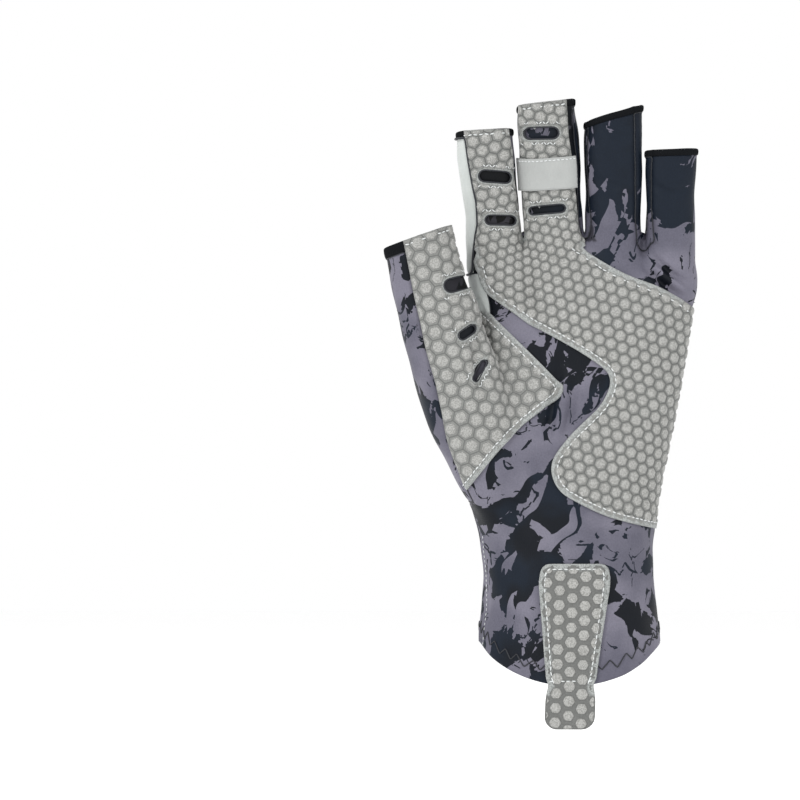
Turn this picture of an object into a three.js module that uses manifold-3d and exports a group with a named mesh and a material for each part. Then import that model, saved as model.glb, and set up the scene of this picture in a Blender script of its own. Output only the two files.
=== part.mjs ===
// A left-hand fingerless fishing glove, in millimetres, +Z up along the fingers.
// It keeps the form it has on a hand: a hollow stretch-cloth shell sewn from panels, open at the
// cuff, at the four finger ends and at the thumb end, with grip patches sewn over its palm.
// The palm faces -Y, the thumb points to -X, and the origin is in the middle of the cuff's mouth,
// level with the foot of the side seams, where the wrist holds the glove.
import * as THREE from "three";
import Module from "manifold-3d";
import { mergeVertices } from "three/addons/utils/BufferGeometryUtils.js";

const wasm = await Module();
wasm.setup();

// Cloth and gaps
const wall = 1.2;
const seamGap = 0.3;
const patchThickness = 1.0;
const patchClearance = 0.3;
const hemHeight = 2.8;
const hemExtra = 0.5;

// Hand tube, from the foot of the side seams up to the finger crotches
const handLength = 157;
const cuffWidth = 71.6;
const cuffDepth = 52;
const wristWidth = 67.6;
const wristDepth = 46;
const heelWidth = 79;
const heelDepth = 41;
const palmWidth = 87;
const palmDepth = 31;
const cuffDrop = 17.2;
const cuffCurvePower = 0.7;

// The middle finger, from a root hidden in the hand tube up to the open end
const fingerLength = 80;
const fingerWidth = 24;
const fingerDepth = 20.2;
const rootDepthBelowCrotch = 22;
const fingerCurl = 14;

// All four fingers: root places as shares of the palm's width, sizes as shares of the middle
// finger's, and the lean towards +X in degrees. Seams are where the palm side's two seams run,
// left and right of the middle, as shares of the half width.
const fingers = [
  { name: "index", root: -0.318, length: 0.8625, width: 0.933, depth: 0.96, lean: -5.2, seams: [0.68, 0.92] },
  { name: "middle", root: -0.053, length: 1, width: 1, depth: 1, lean: -3.4, seams: [0.95, 0.72] },
  { name: "ring", root: 0.209, length: 0.944, width: 0.954, depth: 0.97, lean: -0.5, seams: [0.95, 0.74] },
  { name: "little", root: 0.46, length: 0.7625, width: 0.85, depth: 0.89, lean: 0.4, seams: [0.76, 0.95] },
];

// Thumb, from a root in the heel of the hand. It starts out wide and turns up towards its end.
const thumb = {
  name: "thumb",
  rootAcross: -0.235,
  rootUp: 0.3,
  rootForward: 0.16,
  length: 121.5,
  width: 28,
  depth: 25,
  leanRoot: -27,
  leanTip: -12.5,
  pitch: 6,
};

// Grip patch, strap and tab
const slotWidth = 4.4;
const slotLength = 13.4;
const thumbSlotLength = 8.8;
const strapHeight = 13.2;
const strapStart = 46;
const strapThickness = 0.8;
const strapSlack = 0.5;
const tabLength = 65.4;
const tabTopWidth = 28;
const tabFootWidth = 19.5;
const tabWaistWidth = 17.4;
const tabTongue = 17.2;
const tabLean = 2;

// Facets round each tube, and lengths that only have to clear the glove
const handFacets = 28;
const fingerFacets = 16;
const thumbFacets = 16;
const reach = 60;
const overrun = 6;

// The squareness of a finger's section, a superellipse, and how far back its rear seams run as
// a share of its half depth
const fingerSquareness = 2.6;
const rearSeam = 0.62;
const seamDepth = (across) => (1 - across ** fingerSquareness) ** (1 / fingerSquareness);

// The hand tube's sections: up as a share of its length, centre as a share of the palm's width,
// then the full width and depth there, each as a share of a named size.
const handSections = [
  { up: -0.3, centre: 0.003, width: 1.0 * cuffWidth, depth: 1.0 * cuffDepth },
  { up: 0.0, centre: 0.003, width: 1.0 * cuffWidth, depth: 1.0 * cuffDepth },
  { up: 0.1, centre: 0.003, width: 0.97 * cuffWidth, depth: 0.94 * cuffDepth },
  { up: 0.22, centre: -0.008, width: 1.0 * wristWidth, depth: 1.0 * wristDepth },
  { up: 0.36, centre: -0.014, width: 0.92 * heelWidth, depth: 1.05 * heelDepth },
  { up: 0.51, centre: 0.006, width: 1.0 * heelWidth, depth: 1.0 * heelDepth },
  { up: 0.64, centre: 0.04, width: 0.93 * palmWidth, depth: 1.15 * palmDepth },
  { up: 0.76, centre: 0.062, width: 0.96 * palmWidth, depth: 1.05 * palmDepth },
  { up: 0.87, centre: 0.068, width: 1.0 * palmWidth, depth: 0.95 * palmDepth },
  { up: 0.955, centre: 0.066, width: 1.01 * palmWidth, depth: 0.76 * palmDepth },
  { up: 1.0, centre: 0.066, width: 0.97 * palmWidth, depth: 0.5 * palmDepth },
];
const handSquareness = 2.3;

// A digit's sections: along it, then its width and depth as shares of its own
const fingerSections = [
  { along: 0, width: 0.92, depth: 0.86 },
  { along: 0.22, width: 1, depth: 0.98 },
  { along: 0.6, width: 1, depth: 1 },
  { along: 1, width: 1, depth: 0.94 },
];
const thumbSections = [
  { along: 0, width: 0.85, depth: 1.0 },
  { along: 0.16, width: 1.08, depth: 1.2 },
  { along: 0.34, width: 1.19, depth: 1.22 },
  { along: 0.55, width: 1.18, depth: 1.14 },
  { along: 0.78, width: 1.05, depth: 1.04 },
  { along: 1, width: 0.98, depth: 0.96 },
];

// The slots over the joints: along a digit, across it as a share of its half width, turned
// further than its lean in degrees, and their width as a share of the widest
const fingerSlots = [
  { finger: 0, along: 0.725, across: 0.18, turn: 0, width: 1 },
  { finger: 0, along: 0.471, across: 0.22, turn: 0, width: 0.85 },
  { finger: 1, along: 0.847, across: -0.2, turn: 0, width: 1 },
  { finger: 1, along: 0.463, across: -0.16, turn: 0, width: 0.75 },
];
const thumbSlots = [
  { along: 0.818, across: 0.68, turn: 0, width: 1 },
  { along: 0.652, across: 0.62, turn: 18, width: 0.75 },
  { along: 0.518, across: 0.58, turn: 42, width: 0.6 },
];

// The tab's outline: half widths, heights over its foot as shares of its length, and how far
// each corner is rounded as a share of its top's width
const tabOutline = [
  { half: 0.46 * tabTopWidth, up: 1, radius: 0.18 },
  { half: 0.5 * tabTopWidth, up: 0.89, radius: 0.215 },
  { half: 0.5 * tabFootWidth, up: 0.3, radius: 0.036 },
  { half: 0.5 * tabWaistWidth, up: 0.275, radius: 0.036 },
  { half: 0.5 * tabFootWidth, up: 0.19, radius: 0.107 },
  { half: 0.5 * tabFootWidth, up: 0.045, radius: 0.107 },
  { half: 0.35 * tabFootWidth, up: 0, radius: 0.107 },
];

const radians = THREE.MathUtils.degToRad;
const point = (x, y, z) => new THREE.Vector3(x, y, z);
const acrossPalm = (share) => share * palmWidth;
const upHand = (share) => share * handLength;

// Turning geometry into solids and back

function solidFrom(positions, triangles) {
  const mesh = new wasm.Mesh({
    numProp: 3,
    vertProperties: new Float32Array(positions),
    triVerts: new Uint32Array(triangles),
  });
  return new wasm.Manifold(mesh);
}

function solidOfGeometry(geometry) {
  geometry.deleteAttribute("normal");
  geometry.deleteAttribute("uv");
  const merged = mergeVertices(geometry, 1e-4);
  return solidFrom(merged.attributes.position.array, merged.index.array);
}

function joined(solids) {
  return solids.reduce((sum, solid) => sum.add(solid));
}

function cutBy(solid, cutters) {
  return cutters.reduce((left, cutter) => left.subtract(cutter), solid);
}

// Where seams cross, a cut can leave a crumb of cloth, so a panel is its largest body.
function largestBody(solid) {
  const bodies = solid.decompose();
  return bodies.reduce((best, body) => (body.volume() > best.volume() ? body : best));
}

// A closed solid through rings of points, with a fan at each end
function loft(rings) {
  const count = rings[0].length;
  const positions = [];
  const triangles = [];
  rings.forEach((ring) => ring.forEach((p) => positions.push(p.x, p.y, p.z)));
  for (let i = 0; i + 1 < rings.length; i++) {
    for (let j = 0; j < count; j++) {
      const a = i * count + j;
      const b = i * count + ((j + 1) % count);
      triangles.push(a, b, b + count, a, b + count, a + count);
    }
  }
  const caps = [
    { ring: rings[0], first: 0, turned: true },
    { ring: rings.at(-1), first: (rings.length - 1) * count, turned: false },
  ];
  for (const { ring, first, turned } of caps) {
    const middle = ring.reduce((sum, p) => sum.add(p), point(0, 0, 0)).divideScalar(count);
    const hub = positions.length / 3;
    positions.push(middle.x, middle.y, middle.z);
    for (let j = 0; j < count; j++) {
      const next = first + ((j + 1) % count);
      triangles.push(hub, ...(turned ? [next, first + j] : [first + j, next]));
    }
  }
  return solidFrom(positions, triangles);
}

// A flat outline in X and Z, pushed through from one Y to another
function prism(shape, fromY, toY) {
  const geometry = new THREE.ExtrudeGeometry(shape, {
    depth: toY - fromY,
    bevelEnabled: false,
    curveSegments: 6,
  });
  geometry.rotateX(Math.PI / 2);
  geometry.translate(0, toY, 0);
  return solidOfGeometry(geometry);
}

// An anticlockwise outline with each side moved outwards by a margin
function grownOutline(corners, margin) {
  const count = corners.length;
  const sideNormal = (i) => {
    const from = corners[(i + count) % count];
    const to = corners[(i + 1) % count];
    return new THREE.Vector2(to.z - from.z, from.x - to.x).normalize();
  };
  return corners.map((corner, i) => {
    const before = sideNormal(i - 1);
    const move = before.clone().add(sideNormal(i));
    move.multiplyScalar(margin / move.dot(before));
    return { ...corner, x: corner.x + move.x, z: corner.z + move.y };
  });
}

// An outline given in shares of the palm: across and corner radius of its width, up of the hand
const placedCorners = (corners) =>
  corners.map(({ x, z, radius = 0 }) => ({
    x: acrossPalm(x),
    z: upHand(z),
    radius: acrossPalm(radius),
  }));

// An outline of corners, each rounded by its own radius
function roundedOutline(corners) {
  const shape = new THREE.Shape();
  const count = corners.length;
  corners.forEach((corner, i) => {
    const here = new THREE.Vector2(corner.x, corner.z);
    const before = corners[(i + count - 1) % count];
    const after = corners[(i + 1) % count];
    const toBefore = new THREE.Vector2(before.x, before.z).sub(here);
    const toAfter = new THREE.Vector2(after.x, after.z).sub(here);
    const setback = Math.min(corner.radius, toBefore.length() / 2, toAfter.length() / 2);
    const start = here.clone().addScaledVector(toBefore.normalize(), setback);
    const end = here.clone().addScaledVector(toAfter.normalize(), setback);
    if (i === 0) shape.moveTo(start.x, start.y);
    else shape.lineTo(start.x, start.y);
    if (setback > 0) shape.quadraticCurveTo(here.x, here.y, end.x, end.y);
  });
  shape.closePath();
  return shape;
}

// The glove's form: sections of the hand tube and of each digit

function mixRows(rows, key, value, fields) {
  const last = rows.length - 2;
  const i = Math.max(0, Math.min(last, rows.findIndex((row) => row[key] > value) - 1));
  const low = value >= rows.at(-1)[key] ? rows[last] : rows[i];
  const high = rows[rows.indexOf(low) + 1];
  const t = THREE.MathUtils.clamp((value - low[key]) / (high[key] - low[key]), 0, 1);
  return fields.map((field) => low[field] + (high[field] - low[field]) * t);
}

function sectionRing(frame, halfWidth, halfDepth, squareness, facets) {
  const ring = [];
  for (let j = 0; j < facets; j++) {
    const angle = (2 * Math.PI * (j + 0.5)) / facets;
    const across = Math.sign(Math.cos(angle)) * Math.abs(Math.cos(angle)) ** (2 / squareness);
    const back = Math.sign(Math.sin(angle)) * Math.abs(Math.sin(angle)) ** (2 / squareness);
    ring.push(
      frame.centre
        .clone()
        .addScaledVector(frame.side, across * halfWidth)
        .addScaledVector(frame.back, back * halfDepth),
    );
  }
  return ring;
}

function handForm(grow) {
  const top = handSections.at(-1);
  const rings = handSections.map((row) => {
    const frame = {
      centre: point(acrossPalm(row.centre), 0, upHand(row.up) + (row === top ? grow : 0)),
      side: point(1, 0, 0),
      back: point(0, 1, 0),
    };
    return sectionRing(frame, row.width / 2 + grow, row.depth / 2 + grow, handSquareness, handFacets);
  });
  return loft(rings);
}

const fingerDigits = fingers.map((finger) => ({
  ...finger,
  length: finger.length * fingerLength,
  width: finger.width * fingerWidth,
  depth: finger.depth * fingerDepth,
  start: point(acrossPalm(finger.root), 0, handLength - rootDepthBelowCrotch),
  leanRoot: finger.lean,
  leanTip: finger.lean,
  pitchRoot: 0,
  pitchTip: fingerCurl,
  sections: fingerSections,
  squareness: fingerSquareness,
  facets: fingerFacets,
}));
const thumbDigit = {
  ...thumb,
  start: point(
    acrossPalm(thumb.rootAcross),
    -thumb.rootForward * palmDepth,
    upHand(thumb.rootUp),
  ),
  pitchRoot: thumb.pitch,
  pitchTip: thumb.pitch,
  sections: thumbSections,
  squareness: 2.2,
  facets: thumbFacets,
};
const digits = [...fingerDigits, thumbDigit];
const [indexDigit, middleDigit, , littleDigit] = fingerDigits;

// A digit's axis bends evenly from its root's direction to its tip's. Along is 0 at the root
// and 1 at the open end, and may run past either.
function digitFrame(digit, along) {
  const steps = 12;
  const direction = (t) => {
    const lean = radians(digit.leanRoot + (digit.leanTip - digit.leanRoot) * t);
    const pitch = radians(digit.pitchRoot + (digit.pitchTip - digit.pitchRoot) * t);
    return point(
      Math.sin(lean) * Math.cos(pitch),
      -Math.sin(pitch),
      Math.cos(lean) * Math.cos(pitch),
    );
  };
  const centre = digit.start.clone();
  for (let i = 0; i < steps; i++) {
    const middle = ((i + 0.5) * along) / steps;
    centre.addScaledVector(direction(middle), (along * digit.length) / steps);
  }
  const up = direction(along);
  const side = point(0, 1, 0).cross(up).normalize();
  const back = up.clone().cross(side);
  return { centre, side, up, back };
}

function digitHalves(digit, along) {
  const [width, depth] = mixRows(digit.sections, "along", along, ["width", "depth"]);
  return { halfWidth: (width * digit.width) / 2, halfDepth: (depth * digit.depth) / 2 };
}

// A digit's tube between two places along it
function digitForm(digit, grow, from = 0, to = 1) {
  const places = digit.sections.map((row) => row.along).filter((a) => a > from && a < to);
  const rings = [from, ...places, to].map((along) => {
    const { halfWidth, halfDepth } = digitHalves(digit, along);
    const frame = digitFrame(digit, along);
    return sectionRing(frame, halfWidth + grow, halfDepth + grow, digit.squareness, digit.facets);
  });
  return loft(rings);
}

// The whole form, grown outwards or inwards. Past the open ends it runs on by a given length,
// so that a hollow opens them.
function gloveForm(grow, pastEnds) {
  const tubes = digits.map((digit) => digitForm(digit, grow, 0, 1 + pastEnds / digit.length));
  return joined([handForm(grow), ...tubes]);
}

// A solid that follows a digit through rows along it. The outline gives each row's corners as
// lengths across and back from the digit's axis.
function digitLoft(digit, rows, outline) {
  const rings = rows.map((row) => {
    const { centre, side, back } = digitFrame(digit, row.along);
    const corners = outline(row, digitHalves(digit, row.along));
    return corners.map(([u, v]) => centre.clone().addScaledVector(side, u).addScaledVector(back, v));
  });
  return loft(rings);
}

// A box that follows a digit: across and back run between shares of its own half sizes
function digitBlock(digit, { across, back, along, margin = 0 }) {
  const [from, to] = [along[0] - margin / digit.length, along[1] + margin / digit.length];
  const rows = [0, 0.25, 0.5, 0.75, 1].map((t) => ({ along: from + (to - from) * t }));
  return digitLoft(digit, rows, (row, { halfWidth, halfDepth }) => {
    const left = across[0] * halfWidth - margin;
    const right = across[1] * halfWidth + margin;
    const front = back[0] * halfDepth - margin;
    const rear = back[1] * halfDepth + margin;
    return [[left, front], [right, front], [right, rear], [left, rear]];
  });
}

// Rows along a digit with the first one moved down by a margin
function loweredRows(digit, rows, margin) {
  const [first, ...rest] = rows;
  return [{ ...first, along: first.along - margin / digit.length }, ...rest];
}

// Regions of the shell: each is a solid that holds one panel's cloth. A margin grows it, so
// that a neighbour cut by the grown region keeps the seam's gap.

const past = 1.12;
const forkDip = 4;
const endAlong = (digit, length) => 1 - length / digit.length;
const crotchAlong = (digit) => rootDepthBelowCrotch / digit.length;
const forkStart = (digit) => (rootDepthBelowCrotch - forkDip) / digit.length;

function forkRegion(left, right, margin) {
  const side = (digit, across, seam) =>
    digitBlock(digit, {
      across,
      back: [-seamDepth(seam), rearSeam],
      along: [forkStart(digit), 1.1],
      margin,
    });
  return side(left, [0, past], left.seams[1]).add(side(right, [-past, 0], right.seams[0]));
}

// The strip down the thumb side of the index finger narrows from the finger to the thumb crotch.
function indexSideRegion(margin) {
  const front = seamDepth(indexDigit.seams[0]);
  const strip = [
    { along: -0.12, share: 0.25 },
    { along: 0.3, share: 0.8 },
    { along: 0.5, share: 1 },
    { along: 1.1, share: 1 },
  ];
  const rows = loweredRows(indexDigit, strip, margin);
  return digitLoft(indexDigit, rows, (row, { halfWidth, halfDepth }) => {
    const outer = -past * halfWidth - margin;
    const inner = -0.3 * halfWidth + margin;
    const near = -row.share * front * halfDepth - margin;
    const far = row.share * rearSeam * halfDepth + margin;
    return [[outer, near], [inner, near], [inner, far], [outer, far]];
  });
}

function hemRegion(digit, margin) {
  const along = [endAlong(digit, hemHeight + margin), 1 + overrun / digit.length];
  return digitBlock(digit, { across: [-past, past], back: [-past, past], along });
}

// The outer side of the thumb, between the seam down its grip patch and the one behind it.
// Front and rear are where the seams run, as shares of its half width, 1 towards the palm.
const thumbPanelRows = [
  { along: 0.13, front: -0.88, rear: -0.3 },
  { along: 0.3, front: -0.75, rear: 0.3 },
  { along: 0.5, front: -0.55, rear: 0.62 },
  { along: 0.75, front: -0.46, rear: 0.62 },
  { along: 1.1, front: -0.35, rear: 0.62 },
];
function thumbBackRegion(margin) {
  const rows = loweredRows(thumbDigit, thumbPanelRows, margin);
  return digitLoft(thumbDigit, rows, (row, { halfWidth, halfDepth }) => {
    const outside = -past * halfWidth - margin;
    const front = -past * halfDepth - margin;
    const rear = past * halfDepth + margin;
    const frontSeam = row.front * halfWidth + margin;
    const rearSeamPlace = row.rear * halfWidth + margin;
    return [[outside, front], [frontSeam, front], [rearSeamPlace, rear], [outside, rear]];
  });
}

// Near its end the whole thumb but that panel belongs to the palm side.
function thumbEndRegion(margin) {
  return digitBlock(thumbDigit, {
    across: [-past, past],
    back: [-past, past],
    along: [thumbPanelRows.at(-2).along, thumbPanelRows.at(-1).along],
    margin,
  });
}

// The plain reinforcement over the web between thumb and index finger, as seen from the back
function webRegion(margin) {
  const corners = [
    { x: -0.385, z: 0.935 },
    { x: -0.5, z: 0.93, radius: 0.069 },
    { x: -0.515, z: 0.8, radius: 0.092 },
    { x: -0.545, z: 0.72, radius: 0.092 },
    { x: -0.52, z: 0.64, radius: 0.092 },
    { x: -0.455, z: 0.6, radius: 0.023 },
    { x: -0.405, z: 0.7, radius: 0.092 },
    { x: -0.36, z: 0.8, radius: 0.069 },
  ];
  const outline = grownOutline(placedCorners(corners), margin);
  return prism(roundedOutline(outline), -0.25 * palmDepth - margin, reach);
}

// The back half of the glove: behind the side seams, which follow the hand and the curled
// little finger
function dorsalRegion(margin) {
  const seam = [0.2, 0.5, 0.8, 1.15, 1.5].map((along) => digitFrame(littleDigit, along).centre);
  const shape = new THREE.Shape();
  shape.moveTo(-margin, -reach);
  seam.forEach((p) => shape.lineTo(p.y - margin, p.z));
  shape.lineTo(reach, seam.at(-1).z);
  shape.lineTo(reach, -reach);
  shape.closePath();
  const geometry = new THREE.ExtrudeGeometry(shape, { depth: 4 * reach, bevelEnabled: false });
  geometry.applyMatrix4(
    new THREE.Matrix4().makeBasis(point(0, 1, 0), point(0, 0, 1), point(1, 0, 0)),
  );
  geometry.translate(-2 * reach, 0, 0);
  return solidOfGeometry(geometry);
}

// Below the cuff's curved edge
function belowCuff() {
  const halfWidth = cuffWidth / 2;
  const shape = new THREE.Shape();
  const steps = 16;
  shape.moveTo(-reach, -reach);
  shape.lineTo(-reach, 0);
  for (let i = 0; i <= steps; i++) {
    const share = -Math.cos((Math.PI * i) / steps);
    const drop = cuffDrop * (1 - share ** 2) ** cuffCurvePower;
    shape.lineTo(acrossPalm(handSections[0].centre) + share * halfWidth, -drop);
  }
  shape.lineTo(reach, 0);
  shape.lineTo(reach, -reach);
  shape.closePath();
  return prism(shape, -reach, reach);
}

// The shell, and its panels

const hollow = gloveForm(-wall, overrun);
const shell = gloveForm(0, 0).subtract(hollow).subtract(belowCuff());
const neighbours = fingerDigits.slice(1).map((digit, i) => [fingerDigits[i], digit]);
const hemCuts = digits.map((digit) => hemRegion(digit, seamGap));
const cloth = cutBy(shell, hemCuts);

const forkCuts = neighbours.map(([left, right]) => forkRegion(left, right, seamGap));
const forks = neighbours.map(([left, right]) => cloth.intersect(forkRegion(left, right, 0)));
const indexSide = cloth.intersect(indexSideRegion(0)).subtract(webRegion(seamGap));
const webPatch = cloth.intersect(webRegion(0));
const thumbPanel = cloth.intersect(thumbBackRegion(0)).subtract(webRegion(seamGap));
const commonCuts = [...forkCuts, indexSideRegion(seamGap), webRegion(seamGap), thumbBackRegion(seamGap)];
const backPanel = cutBy(cloth.intersect(dorsalRegion(0)), [...commonCuts, thumbEndRegion(seamGap)]);
const palmPanel = cutBy(
  cloth.subtract(dorsalRegion(seamGap).subtract(thumbEndRegion(0))),
  commonCuts,
);

// Each finger end is hemmed with a band of thicker cloth that goes on where the panels stop.
function hemBand(digit) {
  const outside = digitForm(digit, 0, endAlong(digit, hemHeight), 1);
  const inside = digitForm(
    digit,
    -wall - hemExtra,
    endAlong(digit, hemHeight + overrun),
    1 + overrun / digit.length,
  );
  return outside.subtract(inside);
}

// Grip patches: a layer laid over the shell, cut to an outline, with a slot at each finger joint

const patchOutside = gloveForm(patchClearance + patchThickness, 0);
const patchInside = gloveForm(patchClearance, overrun);
const patchLayer = patchOutside.subtract(patchInside);

function slot(digit, { along, across, turn, width }, length) {
  const { centre, side } = digitFrame(digit, along);
  const { halfWidth } = digitHalves(digit, along);
  const lean = digit.leanRoot + (digit.leanTip - digit.leanRoot) * along;
  const radius = (width * slotWidth) / 2;
  const half = length / 2 - radius;
  const shape = new THREE.Shape();
  shape.absarc(half, 0, radius, -Math.PI / 2, Math.PI / 2, false);
  shape.absarc(-half, 0, radius, Math.PI / 2, (3 * Math.PI) / 2, false);
  shape.closePath();
  const geometry = new THREE.ExtrudeGeometry(shape, {
    depth: reach,
    bevelEnabled: false,
    curveSegments: 5,
  });
  geometry.rotateX(Math.PI / 2);
  geometry.rotateY(radians(lean - turn));
  const place = centre.clone().addScaledVector(side, across * halfWidth);
  geometry.translate(place.x, place.y, place.z);
  return solidOfGeometry(geometry);
}

function frontStrip(digit, start, margin = 0) {
  return digitBlock(digit, {
    across: [-digit.seams[0], digit.seams[1]],
    back: [-2, 0],
    along: [start, 1 + overrun / digit.length],
    margin,
  });
}

const palmPatchCorners = [
  { x: -0.435, z: 0.965 },
  { x: -0.39, z: 0.885, radius: 0.034 },
  { x: -0.185, z: 0.803 },
  { x: 0.046, z: 0.734, radius: 0.092 },
  { x: 0.197, z: 0.673, radius: 0.103 },
  { x: 0.155, z: 0.605, radius: 0.103 },
  { x: -0.02, z: 0.512, radius: 0.069 },
  { x: -0.1, z: 0.446, radius: 0.103 },
  { x: -0.06, z: 0.38, radius: 0.103 },
  { x: 0.143, z: 0.318, radius: 0.161 },
  { x: 0.395, z: 0.284, radius: 0.023 },
  { x: 0.7, z: 0.284 },
  { x: 0.7, z: 0.84 },
  { x: 0.535, z: 0.86, radius: 0.092 },
  { x: 0.23, z: 0.932, radius: 0.115 },
  { x: 0.066, z: 1.0, radius: 0.069 },
  { x: 0.03, z: 1.04 },
  { x: -0.4, z: 1.04 },
];
const thumbPatchCorners = [
  { x: -0.9, z: 1.1 },
  { x: -0.9, z: 0.38 },
  { x: -0.475, z: 0.38, radius: 0.012 },
  { x: -0.28, z: 0.52, radius: 0.138 },
  { x: -0.05, z: 0.62, radius: 0.034 },
  { x: -0.03, z: 0.645, radius: 0.034 },
  { x: -0.28, z: 0.785, radius: 0.115 },
  { x: -0.42, z: 0.86, radius: 0.046 },
  { x: -0.42, z: 1.1 },
];

const palmPatchRegion = cutBy(
  joined([
    prism(roundedOutline(placedCorners(palmPatchCorners)), -reach, 0),
    frontStrip(indexDigit, crotchAlong(indexDigit)),
    frontStrip(middleDigit, crotchAlong(middleDigit)),
  ]),
  fingerSlots.map((row) => slot(fingerDigits[row.finger], row, slotLength)),
);
const betweenFingers = digitBlock(indexDigit, {
  across: [indexDigit.seams[1], past],
  back: [-2, 2],
  along: [crotchAlong(indexDigit), 1.1],
});
const palmPatch = patchLayer.intersect(palmPatchRegion).subtract(betweenFingers);

const thumbFrontRows = [{ ...thumbPanelRows[0], along: -0.1 }, ...thumbPanelRows];
const thumbFront = digitLoft(thumbDigit, thumbFrontRows, (row, { halfWidth, halfDepth }) => {
  const seam = row.front * halfWidth;
  return [[seam, -2 * halfDepth], [reach, -2 * halfDepth], [reach, 0], [seam, 0]];
});
const thumbPatchRegion = cutBy(
  prism(roundedOutline(placedCorners(thumbPatchCorners)), -reach, 0).intersect(thumbFront),
  thumbSlots.map((row) => slot(thumbDigit, row, thumbSlotLength)),
);
const thumbPatch = patchLayer.intersect(thumbPatchRegion);

// The pull strap across the middle finger: slack over the patch, and let down to the cloth at
// both sides, where it is sewn into the finger's seams
function fingerStrap() {
  const start = strapStart / middleDigit.length;
  const end = start + strapHeight / middleDigit.length;
  const overPatch = patchClearance + patchThickness + strapSlack;
  const ring = (along, growSide, growFront) => {
    const { halfWidth, halfDepth } = digitHalves(middleDigit, along);
    const frame = digitFrame(middleDigit, along);
    return sectionRing(
      frame,
      halfWidth + growSide,
      halfDepth + growFront,
      fingerSquareness,
      fingerFacets,
    );
  };
  const spare = overrun / middleDigit.length;
  const outer = loft([start, end].map((along) =>
    ring(along, seamGap + strapThickness, overPatch + strapThickness)));
  const inner = loft([start - spare, end + spare].map((along) => ring(along, seamGap, overPatch)));
  const front = digitBlock(middleDigit, {
    across: [-2, 2],
    back: [-2, -0.05],
    along: [start - spare, end + spare],
  });
  const patchUnder = digitForm(middleDigit, overPatch, start - spare, end + spare).intersect(
    frontStrip(middleDigit, start - spare, seamGap),
  );
  return cutBy(outer, [inner, patchUnder]).intersect(front);
}

// The pull tab: sewn flat on the front of the cuff, with a tongue hanging below its edge
function pullTab() {
  const foot = -cuffDrop - tabTongue;
  const side = (sign) =>
    tabOutline.map(({ half, up, radius }) => ({
      x: sign * half + (up * tabLength - tabTongue) * Math.tan(radians(tabLean)),
      z: foot + up * tabLength,
      radius: radius * tabTopWidth,
    }));
  const [right, left] = [side(1), side(-1).reverse()];
  const layer = handForm(patchClearance + patchThickness).subtract(handForm(patchClearance));
  return layer.intersect(prism(roundedOutline([...right, ...left]), -reach, 0));
}

// Colours of the cloths, and the finished glove

const camoCloth = { color: 0x56586a, roughness: 0.85, metalness: 0 };
const gripSuede = { color: 0x9b9c98, roughness: 0.9, metalness: 0 };
const plainSuede = { color: 0xc3c6c3, roughness: 0.9, metalness: 0 };
const blackHem = { color: 0x15161b, roughness: 0.8, metalness: 0 };

function clothMesh(name, solid, finish) {
  const { vertProperties, triVerts } = largestBody(solid).getMesh();
  const geometry = new THREE.BufferGeometry();
  geometry.setAttribute("position", new THREE.BufferAttribute(vertProperties, 3));
  geometry.setIndex(new THREE.BufferAttribute(triVerts, 1));
  geometry.computeVertexNormals();
  const mesh = new THREE.Mesh(geometry, new THREE.MeshStandardMaterial(finish));
  mesh.name = name;
  return mesh;
}

const glove = new THREE.Group();
glove.add(
  clothMesh("back_panel", backPanel, camoCloth),
  clothMesh("palm_panel", palmPanel, camoCloth),
  clothMesh("thumb_panel", thumbPanel, camoCloth),
  ...forks.map((fork, i) =>
    clothMesh(`side_panel_${neighbours[i][0].name}_${neighbours[i][1].name}`, fork, camoCloth),
  ),
  clothMesh("index_side_panel", indexSide, plainSuede),
  clothMesh("web_patch", webPatch, plainSuede),
  ...digits.map((digit) => clothMesh(`hem_${digit.name}`, hemBand(digit), blackHem)),
  clothMesh("palm_grip_patch", palmPatch, gripSuede),
  clothMesh("thumb_grip_patch", thumbPatch, gripSuede),
  clothMesh("finger_pull_strap", fingerStrap(), plainSuede),
  clothMesh("cuff_pull_tab", pullTab(), gripSuede),
);

export default glove;
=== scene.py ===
import math

import bpy
import numpy as np
from mathutils.bvhtree import BVHTree
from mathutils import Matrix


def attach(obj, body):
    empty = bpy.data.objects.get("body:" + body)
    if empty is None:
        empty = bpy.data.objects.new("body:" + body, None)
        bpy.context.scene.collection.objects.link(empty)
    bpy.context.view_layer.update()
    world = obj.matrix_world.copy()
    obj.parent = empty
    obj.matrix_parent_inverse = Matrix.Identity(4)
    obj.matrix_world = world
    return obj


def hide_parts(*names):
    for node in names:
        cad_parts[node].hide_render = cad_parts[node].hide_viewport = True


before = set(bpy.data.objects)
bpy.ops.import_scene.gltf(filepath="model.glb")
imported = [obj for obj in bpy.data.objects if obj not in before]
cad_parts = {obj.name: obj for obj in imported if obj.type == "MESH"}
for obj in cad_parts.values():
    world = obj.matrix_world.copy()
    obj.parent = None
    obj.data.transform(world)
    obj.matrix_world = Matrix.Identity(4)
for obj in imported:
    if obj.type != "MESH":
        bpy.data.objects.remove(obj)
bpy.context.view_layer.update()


# The form that the glove takes on a left hand: a tube round the hand, from the cuff up to the
# finger crotches, with five tubes for the digits run into it. Stretch cloth follows such a form
# closely. Sizes here are in millimetres, palm towards -Y, fingers up, thumb towards -X.

MM = 0.001
CLOTH_CELL = 1.0
PALM_WIDTH = 87.0
HAND_LENGTH = 157.0

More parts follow.
